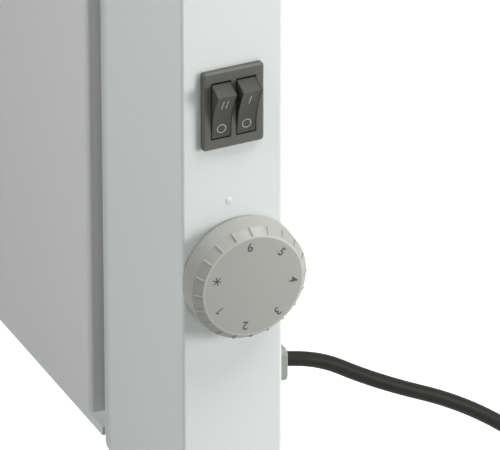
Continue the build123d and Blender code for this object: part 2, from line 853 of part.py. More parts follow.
def biarc(p0, t0, p1, t1):
    v = p1 - p0
    t = t0 + t1
    spread = 2 * (1 - t0.dot(t1))
    along = v.dot(t)
    d = (sqrt(along * along + spread * v.dot(v)) - along) / spread
    joint = ((p0 + t0 * d) + (p1 - t1 * d)) * 0.5
    second = unit((p1 - t1 * d) - (p0 + t0 * d))
    return [Edge.make_tangent_arc(p0, t0, joint), Edge.make_tangent_arc(joint, second, p1)]


def tube_along(path):
    start = Plane(origin=path.position_at(0), z_dir=path.tangent_at(0))
    return sweep(start * Circle(cord_radius), path=path)


def cord_coil():
    count = ceil(coil_turn_total() * coil_pieces_per_turn)
    turns = [coil_turn_total() * i / count for i in range(count + 1)]
    edges = []
    for a, b in zip(turns, turns[1:]):
        edges += biarc(coil_point(a), coil_heading(a), coil_point(b), coil_heading(b))
    path = Wire(edges)
    print("coil length", round(path.length, 1), "least self gap", round(coil_self_gap(), 2))
    return tube_along(path)


# least gap between points of the coil that are over half a turn apart
def coil_self_gap():
    count = 60
    total = int(coil_turn_total() * count)
    points = [coil_point(i / count) for i in range(total + 1)]
    least = 1e9
    for i, p in enumerate(points):
        for q in points[i + count // 2:]:
            least = min(least, (p - q).length)
    return least - 2 * cord_radius


# free stretch: straight out of the gland, down in a slack curve and along the floor
def cord_route():
    entry = coil_point(0)
    heading = coil_heading(0)
    rest_z = cord_radius + floor_gap
    points = [(cord_x, back_y - cord_inside, cord_z),
              (cord_x, back_y + 15.0, cord_z),
              (cord_x + 0.5, back_y + 48.0, cord_z - 22.0),
              (cord_x + 2.0, back_y + 88.0, cord_z - 41.0),
              (cord_x + 4.0, back_y + 122.0, cord_z - 69.0),
              (cord_x + 4.5, back_y + 148.0, cord_z - 97.0),
              (cord_x + 2.5, back_y + 176.0, rest_z + 1.0)]
    before = entry - heading * 18.0
    return [Vector(*p) for p in points] + [Vector(before.X, before.Y, rest_z), entry]


# tail: down from the top layer and up a little into the plug
def tail_route():
    start = coil_point(coil_turn_total())
    heading = coil_heading(coil_turn_total())
    after = start + heading * 24.0
    back = plug_back()
    return [start, after,
            Vector(after.X - 33.0, after.Y - 3.0, cord_radius + 2.5),
            Vector(back.X + 26.0, back.Y, back.Z), back]


def plug_back():
    start = coil_point(coil_turn_total())
    return Vector(start.X - 112.0, start.Y - 2.0, plug_radius)


def corner_radii(points):
    radii = []
    for a, b, c in zip(points, points[1:], points[2:]):
        first = b - a
        second = c - b
        turn = radians(first.get_angle(second))
        radii.append(0.45 * min(first.length, second.length) / tan(turn / 2))
    return radii


def lead(points, name):
    radii = corner_radii(points)
    path = FilletPolyline(*points, radius=radii)
    print(name, "length", round(path.length, 1), "radii", [round(r, 1) for r in radii])
    solid = tube_along(path)
    print(name, "volume over section times length",
          round(solid.volume / (pi * cord_radius ** 2 * path.length), 4))
    return solid


def cord():
    return lead(cord_route(), "cord")


def cord_tail():
    return lead(tail_route(), "tail")


# round earthed plug lying on its side, entry towards the coil
def plug_body():
    back = plug_back()
    body_x = back.X - plug_neck_length
    nose_x = body_x - plug_length
    outline = Polygon((back.X, 0), (back.X, plug_neck_radius),
                      (body_x, plug_neck_radius + plug_neck_flare),
                      (body_x - plug_shoulder, plug_radius), (nose_x, plug_radius), (nose_x, 0),
                      align=None)
    outline = fillet(corner_at(outline, body_x - plug_shoulder, plug_radius), plug_round)
    outline = fillet(corner_at(outline, body_x, plug_neck_radius + plug_neck_flare), plug_round)
    outline = fillet(corner_at(outline, nose_x, plug_radius), plug_nose_round)
    body = Pos(0, back.Y, back.Z) * revolve(outline, axis=Axis.X)
    for i in range(plug_groove_count):
        x = back.X - plug_groove_pitch * (i + 0.5)
        ring = rod_x(x - plug_groove, x, back.Y, back.Z, plug_radius)
        body -= ring - rod_x(x - plug_groove, x, back.Y, back.Z, plug_neck_radius - sheet)
    for side in (-1, 1):
        body -= earth_strip(side, earth_recess, fit_gap / 2)
    return body


# strip let into the top or bottom of the plug's nose
def earth_strip(side, depth, grow):
    back = plug_back()
    nose_x = back.X - plug_neck_length - plug_length
    inner_z = back.Z + side * (plug_radius - earth_recess)
    outer_z = inner_z + side * depth
    half = earth_width / 2 + grow
    return block(nose_x, nose_x + earth_length + grow, back.Y - half, back.Y + half,
                 min(inner_z, outer_z), max(inner_z, outer_z))


def plug_earth_strips():
    return Compound(children=[earth_strip(side, earth_thickness, 0) for side in (-1, 1)])


def plug_pins():
    back = plug_back()
    nose_x = back.X - plug_neck_length - plug_length
    pins = []
    for side in (-1, 1):
        pin = rod_x(nose_x - plug_pin_length, nose_x, back.Y + side * plug_pin_spacing / 2,
                    back.Z, plug_pin_radius)
        pins.append(fillet(pin.edges().sort_by(Axis.X)[0], plug_pin_radius / 2))
    return Compound(children=pins)


# foot: arched plastic moulding across the depth of the heater
def foot_right():
    x = column_middle()
    tip = foot_reach
    pad_in = tip - foot_pad_span
    shoulder = (foot_top_half + tip) / 2 - foot_top_half / 2
    shoulder_z = foot_shoulder_height
    outline = make_face(Wire([
        Line((-tip, foot_sole), (-tip, foot_tip_height)),
        ThreePointArc((-tip, foot_tip_height), (-shoulder, shoulder_z), (-foot_top_half, base_z)),
        Line((-foot_top_half, base_z), (foot_top_half, base_z)),
        ThreePointArc((foot_top_half, base_z), (shoulder, shoulder_z), (tip, foot_tip_height)),
        Line((tip, foot_tip_height), (tip, foot_sole)),
        Line((tip, foot_sole), (pad_in, foot_sole)),
        ThreePointArc((pad_in, foot_sole), (0, foot_sole + foot_arch_rise), (-pad_in, foot_sole)),
        Line((-pad_in, foot_sole), (-tip, foot_sole)),
    ]))
    foot = extrude(Plane.YZ.offset(x - foot_width / 2) * outline, foot_width)
    sides = foot.faces().sort_by(Axis.X)
    foot = fillet(sides[0].edges() + sides[-1].edges(), foot_edge_round)
    for y in foot_screw_places():
        foot -= rod_z(0, base_z + fit_gap, x, y, screw_radius + screw_hole_gap)
        foot -= rod_z(0, foot_screw_seat(), x, y, screw_head_radius + screw_hole_gap)
    for y in foot_pad_places():
        foot -= pad_block(x, y, fit_gap / 2)
    return foot


def foot_left():
    return mirrored(foot_right())


def foot_screw_seat():
    return base_z - nut_side


def foot_pad_places():
    y = foot_reach - foot_pad_inset - foot_pad_length / 2
    return [-y, y]


def pad_block(x, y, grow):
    half = foot_width / 2 - foot_pad_inset + grow
    return block(x - half, x + half, y - foot_pad_length / 2 - grow,
                 y + foot_pad_length / 2 + grow, 0, foot_pad_thickness)


def foot_pads():
    pads = [pad_block(column_middle(), y, 0) for y in foot_pad_places()]
    return Compound(children=pads + [mirrored(pad) for pad in pads])


def foot_screws():
    screws = []
    for y in foot_screw_places():
        x = column_middle()
        seat = foot_screw_seat()
        screw = rod_z(seat - screw_head_height, seat, x, y, screw_head_radius)
        screw += rod_z(seat, base_z + sheet + nut_thickness, x, y, screw_radius)
        screws += [screw, mirrored(screw)]
    return Compound(children=screws)


def foot_nuts():
    nuts = []
    for y in foot_screw_places():
        x = column_middle()
        z = base_z + sheet
        nut = block(x - nut_side / 2, x + nut_side / 2, y - nut_side / 2, y + nut_side / 2,
                    z, z + nut_thickness)
        nut -= rod_z(z - fit_gap, z + nut_thickness + fit_gap, x, y, screw_radius)
        nuts += [nut, mirrored(nut)]
    return Compound(children=nuts)


def rear_screws():
    screws = []
    for z in rear_screw_heights():
        head = rod_y(back_y, back_y + rear_screw_radius * 1.2, rear_screw_x(), z,
                     rear_screw_radius * 2)
        screw = head + rod_y(back_y - rear_screw_length, back_y, rear_screw_x(), z,
                             rear_screw_radius)
        screws += [screw, mirrored(screw)]
    return Compound(children=screws)


sub_parts = [
    right_casing, left_casing, front_panel, rear_panel, outlet_grille, inlet_grille,
    right_partition, left_partition, heating_tube, heating_fins, tube_bushes, tube_hanger,
    tube_terminals, heat_reflector, thermostat_body, thermostat_shaft, thermostat_tabs,
    thermostat_screws, sensing_bulb, bulb_clip, knob, switch_housing, switch_tabs, rocker_one,
    rocker_two, thermal_cutout, cutout_tabs, tilt_switch, terminal_block, cord_gland, gland_nut,
    cord, cord_coil, cord_tail, plug_body, plug_pins, plug_earth_strips, foot_right, foot_left,
    foot_pads, foot_screws, foot_nuts, rear_screws,
]
for sub_part in sub_parts:
    export_step(sub_part(), "parts/" + sub_part.__name__ + ".step")
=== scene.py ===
import json
import math
import bmesh
import bpy
import numpy as np
from mathutils import Matrix, Vector


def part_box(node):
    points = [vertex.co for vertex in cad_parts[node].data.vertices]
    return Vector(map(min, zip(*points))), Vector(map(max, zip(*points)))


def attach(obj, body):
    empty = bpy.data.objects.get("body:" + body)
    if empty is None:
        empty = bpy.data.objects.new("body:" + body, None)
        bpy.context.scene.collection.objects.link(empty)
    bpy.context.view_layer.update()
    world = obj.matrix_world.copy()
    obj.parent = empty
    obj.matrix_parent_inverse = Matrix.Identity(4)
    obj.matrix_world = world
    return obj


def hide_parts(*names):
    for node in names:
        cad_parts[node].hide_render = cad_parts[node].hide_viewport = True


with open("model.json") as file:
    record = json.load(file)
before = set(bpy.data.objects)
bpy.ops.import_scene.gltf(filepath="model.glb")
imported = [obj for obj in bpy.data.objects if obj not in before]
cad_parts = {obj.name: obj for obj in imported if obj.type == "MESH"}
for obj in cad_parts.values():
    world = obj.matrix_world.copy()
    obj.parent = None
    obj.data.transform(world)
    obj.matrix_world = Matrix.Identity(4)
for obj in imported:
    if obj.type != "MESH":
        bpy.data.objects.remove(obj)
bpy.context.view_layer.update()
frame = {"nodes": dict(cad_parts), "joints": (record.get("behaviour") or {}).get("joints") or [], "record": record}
nodes = frame["nodes"]
joints = {joint["name"]: joint for joint in frame["joints"]}
mm = 0.001
print("frame loaded with", len(nodes), "nodes")

# the knob's joint lies where its shaft leaves the side face, so the side comes from there;
# the rear screws reach their length in from the rear face
sideX, knobY, knobZ = joints["knob_turn"]["pos_m"]
rearScrewLength = 6.0 * mm
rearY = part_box("rear_screws")[0].y + rearScrewLength
casingLow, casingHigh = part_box("left_casing")
middleX = (sideX + casingLow.x) / 2
columnWidth = 86.0 * mm


# an object for a mesh, curve, lamp or camera, linked into the scene
def addObject(name, data):
    thing = bpy.data.objects.new(name, data)
    bpy.context.scene.collection.objects.link(thing)
    return thing


# a camera or lamp stands at its place and looks along the direction, upright
def aimAlong(thing, place, direction):
    thing.location = place
    thing.rotation_mode = "QUATERNION"
    thing.rotation_quaternion = direction.to_track_quat("-Z", "Y")


# camera: a long lens, looking down on the control side and a little of the front
cameraSet = {
    "place": (2.4990, -1.0255, 1.5174),
    "fromSide": 25.1,  # degrees from the side face's normal towards the front
    "down": 28.77,
    "lens": 504.0, "sensor": 36.0, "near": 0.05, "far": 60.0,
}


def makeCamera(s):
    turn = math.radians(s["fromSide"])
    dip = math.radians(s["down"])
    level = math.cos(dip)
    look = Vector((-level * math.cos(turn), level * math.sin(turn), -math.sin(dip)))
    data = bpy.data.cameras.new("photoCamera")
    data.lens = s["lens"]
    data.sensor_width = s["sensor"]
    data.clip_start = s["near"]
    data.clip_end = s["far"]
    camera = addObject("photoCamera", data)
    aimAlong(camera, s["place"], look)
    bpy.context.scene.camera = camera


makeCamera(cameraSet)
print("camera placed")


# mains lead: out of the gland, down to the floor, a two-layer coil, and up into the plug
leadSet = {
    "radius": 3.15 * mm,
    "length": 1.5,
    "fromSide": 12.0 * mm,  # axis inside the side face
    "height": 109.0 * mm,
    "glandProud": 4.6 * mm, "floorGap": 0.05 * mm,
    # points of the fall in mm: aside of the gland's axis, behind the rear face, below the axis
    "fall": ((0.0, -9.0, 0.0), (0.0, 15.0, 0.0), (0.5, 48.0, 22.0), (2.0, 88.0, 41.0),
             (4.0, 122.0, 69.0), (4.5, 148.0, 97.0)),
    "touchDown": (2.5, 176.0, 1.0),  # the same, and above where the lead rests
    "runIn": 18.0 * mm,  # straight before the coil
    "coilTurns": 2.5,  # in each layer
    "coilOuter": 44.0 * mm, "coilPitch": 6.9 * mm, "coilMiddleY": 228.0 * mm,
    "climb": 0.25,  # turns from the lower to the upper layer
    "pointsPerTurn": 16,
    "nudge": 0.0005,  # turns, for the directions at the coil's ends
    "runOut": 24.0 * mm,  # straight after the coil
    "tailDip": (-33.0, -3.0, 2.5),  # mm from the run out, and above where the lead rests
    "plugAt": (-112.0, -2.0),  # mm from the coil's end
    "plugRunIn": 26.0 * mm, "plugRadius": 18.0 * mm,
    "order": 3, "pathSteps": 10, "roundSteps": 5,
}


# a share between 0 and 1 with a soft start and end: three squares less two cubes
def eased(share):
    return share * share * (3 - 2 * share)


# middle of the coil's turns on the floor
def coilMiddle(s):
    return np.array([sideX - s["fromSide"] - s["coilOuter"], s["coilMiddleY"], 0.0])


# a spiral in, a smooth climb of a quarter turn, and a spiral out on top: the radius falls and
# grows with the turns from the innermost point
def coilPoints(s, turn, spread=1.0):
    inner = s["coilTurns"] + s["climb"] / 2
    radius = s["coilOuter"] - s["coilPitch"] * inner + s["coilPitch"] * np.abs(turn - inner)
    share = np.clip((turn - s["coilTurns"]) / s["climb"], 0, 1)
    height = s["radius"] + s["floorGap"] + s["coilPitch"] * eased(share)
    angle = 2 * np.pi * turn
    x = radius * spread * np.cos(angle)
    y = radius * spread * np.sin(angle)
    return coilMiddle(s) + np.stack([x, y, height], 1)


# unit direction between two points
def wayFrom(start, end):
    return (end - start) / np.linalg.norm(end - start)


# the lead's points: the fall to the floor, the coil, and the way on into the plug
def leadRoute(s):
    exitAxis = np.array([sideX - s["fromSide"], rearY, s["height"]])
    restZ = s["radius"] + s["floorGap"]
    total = s["coilTurns"] * 2 + s["climb"]
    entry, afterEntry, beforeLeave, leave = coilPoints(
        s, np.array([0.0, s["nudge"], total - s["nudge"], total]))
    fall = exitAxis + np.array(s["fall"]) * (mm, mm, -mm)
    touchDown = exitAxis + np.array(s["touchDown"]) * mm
    touchDown[2] = restZ + s["touchDown"][2] * mm
    runIn = entry - wayFrom(entry, afterEntry) * s["runIn"]
    runIn[2] = restZ
    # the spline runs inside its points, so the coil's points stand out by one over the
    # cosine of half their step
    count = int(round(total * s["pointsPerTurn"]))
    coil = coilPoints(s, np.linspace(0, total, count + 1),
                      1 / math.cos(math.pi / s["pointsPerTurn"]))
    coil[0], coil[-1] = entry, leave
    runOut = leave + wayFrom(beforeLeave, leave) * s["runOut"]
    dip = runOut + np.array(s["tailDip"]) * mm
    dip[2] = s["radius"] + s["tailDip"][2] * mm
    plug = leave + np.array([*s["plugAt"], 0.0]) * mm
    plug[2] = s["plugRadius"]
    plugRunIn = plug + np.array([s["plugRunIn"], 0.0, 0.0])
    return np.concatenate([fall, [touchDown, runIn], coil, [runOut, dip, plugRunIn, plug]])


def makeLead(s):
    route = leadRoute(s)
    curve = bpy.data.curves.new("mainsLead", "CURVE")
    curve.dimensions = "3D"
    curve.resolution_u = s["pathSteps"]
    # the points carry the tube's radius, so that the curve's own box is the tube's box
    curve.bevel_depth = 1.0
    curve.bevel_resolution = s["roundSteps"]
    curve.use_fill_caps = True
    spline = curve.splines.new("NURBS")
    spline.points.add(len(route) - 1)
    flat = np.concatenate([route, np.ones((len(route), 1))], 1).astype(np.float32)
    spline.points.foreach_set("co", flat.ravel())
    spline.points.foreach_set("radius", np.full(len(route), s["radius"], np.float32))
    spline.order_u = s["order"]
    spline.use_endpoint_u = True
    lead = addObject("mainsLead", curve)
    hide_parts("cord", "cord_coil", "cord_tail")
    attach(lead, "casing")
    return lead


lead = makeLead(leadSet)
print("mains lead laid")


# node groups that several finishes share: colours, masks and heights only
def newGroup(name, inputs, outputs):
    group = bpy.data.node_groups.new(name, "ShaderNodeTree")
    for label, kind, value in inputs:
        socket = group.interface.new_socket(name=label, in_out="INPUT", socket_type=kind)
        if value is not None:
            socket.default_value = value
    for label, kind in outputs:
        group.interface.new_socket(name=label, in_out="OUTPUT", socket_type=kind)
    return group, group.nodes.new("NodeGroupInput"), group.nodes.new("NodeGroupOutput")


def noiseNode(tree, vector, scale, detail, rough=0.5):
    noise = tree.nodes.new("ShaderNodeTexNoise")
    noise.inputs["Detail"].default_value = detail
    noise.inputs["Roughness"].default_value = rough
    tree.links.new(vector, noise.inputs["Vector"])
    if isinstance(scale, (int, float)):
        noise.inputs["Scale"].default_value = scale
    else:
        tree.links.new(scale, noise.inputs["Scale"])
    return noise.outputs["Fac"]


def mathNode(tree, kind, a, b, clamp=False):
    node = tree.nodes.new("ShaderNodeMath")
    node.operation = kind
    node.use_clamp = clamp
    for socket, value in zip(node.inputs, (a, b)):
        if isinstance(value, (int, float)):
            socket.default_value = value
        else:
            tree.links.new(value, socket)
    return node.outputs[0]


# product of several values, from left to right
def timesNode(tree, product, *others):
    for other in others:
        product = mathNode(tree, "MULTIPLY", product, other)
    return product


# a vector stretched along the axes after a turn about them
def stretchNode(tree, vector, stretch, turn=(0.0, 0.0, 0.0)):
    node = tree.nodes.new("ShaderNodeMapping")
    node.inputs["Rotation"].default_value = turn
    node.inputs["Scale"].default_value = stretch
    tree.links.new(vector, node.inputs["Vector"])
    return node.outputs["Vector"]


# a surface texture's group: its sockets, and broad changes of tone
def textureGroup(name, scale, s):
    group, start, end = newGroup(
        name, [("Vector", "NodeSocketVector", None), ("Scale", "NodeSocketFloat", scale)],
        [("Height", "NodeSocketFloat"), ("Tone", "NodeSocketFloat")])
    vector = start.outputs["Vector"]
    broad = noiseNode(group, vector, s["toneScale"], s["toneDetail"], s["toneRough"])
    group.links.new(broad, end.inputs["Tone"])
    return group, vector, start.outputs["Scale"], end.inputs["Height"]


# sprayed powder: soft hills with a finer ripple on them
spraySet = {
    "scale": 900.0, "hillDetail": 1.0, "hillRough": 0.4, "rippleScale": 3.1,
    "rippleDetail": 0.0, "rippleHeight": 0.25, "toneScale": 9.0, "toneDetail": 3.0,
    "toneRough": 0.55,
}


def sprayGroup(s):
    group, vector, scale, height = textureGroup("sprayedPowder", s["scale"], s)
    hills = noiseNode(group, vector, scale, s["hillDetail"], s["hillRough"])
    fineScale = timesNode(group, scale, s["rippleScale"])
    ripple = noiseNode(group, vector, fineScale, s["rippleDetail"])
    ripple = timesNode(group, ripple, s["rippleHeight"])
    group.links.new(mathNode(group, "ADD", hills, ripple), height)
    return group


# moulded grain: close pits from smooth cells, blurred by a cloud of noise
grainSet = {
    "scale": 2600.0, "smooth": 0.6, "cloudScale": 0.45, "cloudDetail": 2.0,
    "cloudHeight": 0.6, "toneScale": 40.0, "toneDetail": 4.0, "toneRough": 0.6,
}


def grainGroup(s):
    group, vector, scale, height = textureGroup("mouldedGrain", s["scale"], s)
    cells = group.nodes.new("ShaderNodeTexVoronoi")
    cells.feature = "SMOOTH_F1"
    cells.inputs["Smoothness"].default_value = s["smooth"]
    group.links.new(vector, cells.inputs["Vector"])
    group.links.new(scale, cells.inputs["Scale"])
    cloudScale = timesNode(group, scale, s["cloudScale"])
    cloud = noiseNode(group, vector, cloudScale, s["cloudDetail"])
    cloud = timesNode(group, cloud, s["cloudHeight"])
    group.links.new(mathNode(group, "ADD", cells.outputs["Distance"], cloud), height)
    return group


# handling marks: thin scattered scuffs, bright where a stretched noise passes a threshold
scuffSet = {
    "scale": 60.0, "level": 0.66, "turn": (0.5, 0.3, 0.7), "stretch": (1.0, 14.0, 2.0),
    "detail": 3.0, "rough": 0.6, "patchScale": 12.0, "patchDetail": 2.0, "patchLift": 0.5,
    "gain": 6.0,
}


def scuffGroup(s):
    group, start, end = newGroup(
        "lightScuffs",
        [("Vector", "NodeSocketVector", None), ("Scale", "NodeSocketFloat", s["scale"]),
         ("Level", "NodeSocketFloat", s["level"])],
        [("Mask", "NodeSocketFloat")])
    stretched = stretchNode(group, start.outputs["Vector"], s["stretch"], s["turn"])
    streaks = noiseNode(group, stretched, start.outputs["Scale"], s["detail"], s["rough"])
    patches = noiseNode(group, start.outputs["Vector"], s["patchScale"], s["patchDetail"])
    patches = mathNode(group, "ADD", patches, s["patchLift"])
    both = timesNode(group, streaks, patches)
    over = mathNode(group, "SUBTRACT", both, start.outputs["Level"], clamp=True)
    mask = mathNode(group, "MULTIPLY", over, s["gain"], clamp=True)
    group.links.new(mask, end.inputs["Mask"])
    return group


groups = {"spray": sprayGroup(spraySet), "grain": grainGroup(grainSet),
          "scuff": scuffGroup(scuffSet)}


def placeGroup(tree, key, vector, **values):
    node = tree.nodes.new("ShaderNodeGroup")
    node.node_tree = groups[key]
    tree.links.new(vector, node.inputs["Vector"])
    for name, value in values.items():
        node.inputs[name].default_value = value
    return node


# colour that goes from one to the other over the middle of the mask's values
toneSpan = (0.3, 0.7)


def blendColours(tree, mask, low, high):
    ramp = tree.nodes.new("ShaderNodeValToRGB")
    for stop, position, colour in zip(ramp.color_ramp.elements, toneSpan, (low, high)):
        stop.position = position
        stop.color = (*colour, 1)
    tree.links.new(mask, ramp.inputs["Fac"])
    return ramp.outputs["Color"]


def rangeNode(tree, value, low, high):
    node = tree.nodes.new("ShaderNodeMapRange")
    node.inputs["To Min"].default_value = low
    node.inputs["To Max"].default_value = high
    tree.links.new(value, node.inputs["Value"])
    return node.outputs["Result"]


def bumpNode(tree, height, strength, distance):
    bump = tree.nodes.new("ShaderNodeBump")
    bump.inputs["Strength"].default_value = strength
    bump.inputs["Distance"].default_value = distance
    tree.links.new(height, bump.inputs["Height"])
    return bump.outputs["Normal"]


def lighter(colour, factor):
    return tuple(min(c * factor, 1.0) for c in colour)


def newMaterial(name):
    material = bpy.data.materials.new(name)
    material.use_nodes = True
    tree = material.node_tree
    coords = tree.nodes.new("ShaderNodeTexCoord").outputs["Object"]
    return material, tree, tree.nodes["Principled BSDF"], coords


# what paint and plastic share: the texture in the normal, a colour that drifts to both sides
# of the given one, and a gloss that drifts and is rougher where the surface is scuffed
def wornSurface(name, texture, s):
    material, tree, shader, coords = newMaterial(name)
    grain = placeGroup(tree, texture, coords, Scale=s[texture])
    scuff = placeGroup(tree, "scuff", coords, Scale=s["scuffs"], Level=s["scuffLevel"])
    tone, mask = grain.outputs["Tone"], scuff.outputs["Mask"]
    colour = blendColours(tree, tone, lighter(s["colour"], 1 - s["drift"]),
                          lighter(s["colour"], 1 + s["drift"]))
    gloss = rangeNode(tree, tone, s["rough"] - s["glossDrift"], s["rough"] + s["glossDrift"])
    gloss = mathNode(tree, "ADD", gloss, timesNode(tree, mask, s["scuffRough"]))
    normal = bumpNode(tree, grain.outputs["Height"], s["bump"], s["bumpDepth"])
    tree.links.new(gloss, shader.inputs["Roughness"])
    tree.links.new(normal, shader.inputs["Normal"])
    shader.inputs["Specular IOR Level"].default_value = s["shine"]
    return material, tree, shader, colour, mask


# powder-coated steel: spray ripple in the normal, a slow drift in colour and in gloss
paintSet = {
    "scuffs": 55.0, "scuffLevel": 0.7, "glossDrift": 0.05, "scuffRough": 0.08,
    "bumpDepth": 0.05 * mm, "ior": 1.48, "shine": 0.4,
}


def paintedSteel(name, given):
    s = {**paintSet, **given}
    material, tree, shader, colour = wornSurface(name, "spray", s)[:4]
    tree.links.new(colour, shader.inputs["Base Color"])
    shader.inputs["IOR"].default_value = s["ior"]
    return material


# moulded plastic or rubber: pitted grain, cloudy colour, scuffs a little lighter and rougher
plasticSet = {
    "scuffs": 90.0, "scuffLevel": 0.66, "wear": 0.25, "wornColour": 1.35, "glossDrift": 0.06,
    "scuffRough": 0.12, "bumpDepth": 0.04 * mm, "shine": 0.5,
}


def mouldedPlastic(name, given):
    s = {**plasticSet, **given}
    material, tree, shader, colour, mask = wornSurface(name, "grain", s)
    mix = tree.nodes.new("ShaderNodeMix")
    mix.data_type = "RGBA"
    tree.links.new(timesNode(tree, mask, s["wear"]), mix.inputs["Factor"])
    tree.links.new(colour, mix.inputs["A"])
    mix.inputs["B"].default_value = (*lighter(s["colour"], s["wornColour"]), 1)
    tree.links.new(mix.outputs["Result"], shader.inputs["Base Color"])
    return material


# bare metal: rolling or turning lines along one direction over a mottled tone
metalSet = {
    "lineScale": 900.0, "lineDetail": 3.0, "mottle": 60.0, "mottleDetail": 4.0,
    "noiseRough": 0.6, "dark": 0.86, "bright": 1.08, "smoother": 0.08, "rougher": 0.1,
    "bump": 0.15, "bumpDepth": 0.02 * mm,
}


def bareMetal(name, given):
    s = {**metalSet, **given}
    material, tree, shader, coords = newMaterial(name)
    lines = noiseNode(tree, stretchNode(tree, coords, s["lines"]), s["lineScale"],
                      s["lineDetail"], s["noiseRough"])
    mottle = noiseNode(tree, coords, s["mottle"], s["mottleDetail"], s["noiseRough"])
    colour = blendColours(tree, mottle, lighter(s["colour"], s["dark"]),
                          lighter(s["colour"], s["bright"]))
    tree.links.new(colour, shader.inputs["Base Color"])
    tree.links.new(rangeNode(tree, lines, s["rough"] - s["smoother"], s["rough"] + s["rougher"]),
                   shader.inputs["Roughness"])
    tree.links.new(bumpNode(tree, lines, s["bump"], s["bumpDepth"]), shader.inputs["Normal"])
    shader.inputs["Metallic"].default_value = 1.0
    return material


finishes = {
    "white_paint": paintedSteel("whitePowderCoat", {
        "colour": (0.79, 0.82, 0.81), "drift": 0.012, "rough": 0.42, "spray": 800.0,
        "bump": 0.12}),
    "panel_paint": paintedSteel("panelPowderCoat", {
        "colour": (0.765, 0.779, 0.768), "drift": 0.012, "rough": 0.42, "spray": 800.0,
        "bump": 0.12}),
    "rear_paint": paintedSteel("rearPowderCoat", {
        "colour": (0.72, 0.74, 0.74), "drift": 0.02, "rough": 0.5, "spray": 650.0,
        "bump": 0.18}),
    "grille_paint": paintedSteel("grillePowderCoat", {
        "colour": (0.76, 0.79, 0.78), "drift": 0.015, "rough": 0.4, "spray": 900.0,
        "bump": 0.1}),
    "knob_grey": mouldedPlastic("knobPlastic", {
        "colour": (0.385, 0.387, 0.36), "drift": 0.02, "rough": 0.46, "grain": 3200.0,
        "bump": 0.12, "wear": 0.1}),
    "switch_grey": mouldedPlastic("switchFramePlastic", {
        "colour": (0.1, 0.1, 0.092), "drift": 0.04, "rough": 0.45, "grain": 3600.0,
        "bump": 0.14, "wear": 0.12, "shine": 0.35}),
    "rocker_grey": mouldedPlastic("rockerPlastic", {
        "colour": (0.062, 0.062, 0.056), "drift": 0.04, "rough": 0.45, "grain": 4200.0,
        "bump": 0.08, "wear": 0.12, "shine": 0.22}),
    "gland_grey": mouldedPlastic("glandPlastic", {
        "colour": (0.29, 0.3, 0.285), "drift": 0.03, "rough": 0.5, "grain": 3000.0,
        "bump": 0.15, "wear": 0.15}),
    "cord_sheath": mouldedPlastic("leadSheath", {
        "colour": (0.016, 0.016, 0.0145), "drift": 0.1, "rough": 0.5, "grain": 2400.0,
        "bump": 0.18, "wear": 0.2, "scuffs": 120.0, "shine": 0.12}),
    "plug_rubber": mouldedPlastic("plugRubber", {
        "colour": (0.03, 0.03, 0.03), "drift": 0.1, "rough": 0.5, "grain": 2200.0,
        "bump": 0.25, "wear": 0.4}),
    "foot_plastic": mouldedPlastic("footPlastic", {
        "colour": (0.68, 0.7, 0.69), "drift": 0.02, "rough": 0.5, "grain": 2200.0,
        "bump": 0.2, "wear": 0.1}),
    "pad_rubber": mouldedPlastic("padRubber", {
        "colour": (0.02, 0.02, 0.02), "drift": 0.1, "rough": 0.7, "grain": 1800.0,
        "bump": 0.3, "wear": 0.4}),
    "phenolic": mouldedPlastic("blackPhenolic", {
        "colour": (0.025, 0.022, 0.02), "drift": 0.12, "rough": 0.35, "grain": 2600.0,
        "bump": 0.1}),
    "nylon": mouldedPlastic("terminalNylon", {
        "colour": (0.7, 0.67, 0.6), "drift": 0.03, "rough": 0.5, "grain": 2400.0,
        "bump": 0.12}),
    "zinc_sheet": bareMetal("zincSheet", {
        "colour": (0.58, 0.6, 0.62), "rough": 0.42, "lines": (1.0, 1.0, 0.05)}),
    "sheath_steel": bareMetal("heatTintedSheath", {
        "colour": (0.3, 0.26, 0.22), "rough": 0.4, "lines": (0.05, 1.0, 1.0), "mottle": 25.0}),
    "fin_aluminium": bareMetal("finAluminium", {
        "colour": (0.75, 0.76, 0.78), "rough": 0.34, "lines": (1.0, 1.0, 0.06)}),
    "reflector_aluminium": bareMetal("reflectorAluminium", {
        "colour": (0.85, 0.86, 0.88), "rough": 0.22, "lines": (0.04, 1.0, 1.0)}),
    "brass_fitting": bareMetal("turnedBrass", {
        "colour": (0.71, 0.5, 0.2), "rough": 0.28, "lines": (1.0, 0.3, 0.3)}),
    "brass_tab": bareMetal("stampedBrass", {
        "colour": (0.74, 0.57, 0.28), "rough": 0.33, "lines": (0.08, 1.0, 1.0)}),
    "bulb_copper": bareMetal("drawnCopper", {
        "colour": (0.75, 0.36, 0.22), "rough": 0.32, "lines": (1.0, 1.0, 0.05)}),
    "shaft_steel": bareMetal("shaftSteel", {
        "colour": (0.6, 0.6, 0.6), "rough": 0.3, "lines": (1.0, 0.2, 0.2)}),
    "screw_steel": bareMetal("screwZinc", {
        "colour": (0.56, 0.57, 0.6), "rough": 0.36, "lines": (1.0, 1.0, 1.0)}),
    "plug_metal": bareMetal("nickelPlate", {
        "colour": (0.72, 0.7, 0.66), "rough": 0.2, "lines": (0.1, 1.0, 1.0)}),
}


# object coordinates of a finish, one socket for each axis
def placeOn(tree):
    place = tree.nodes.new("ShaderNodeSeparateXYZ")
    tree.links.new(tree.nodes.new("ShaderNodeTexCoord").outputs["Object"], place.inputs[0])
    return place.outputs["X"], place.outputs["Y"], place.outputs["Z"]


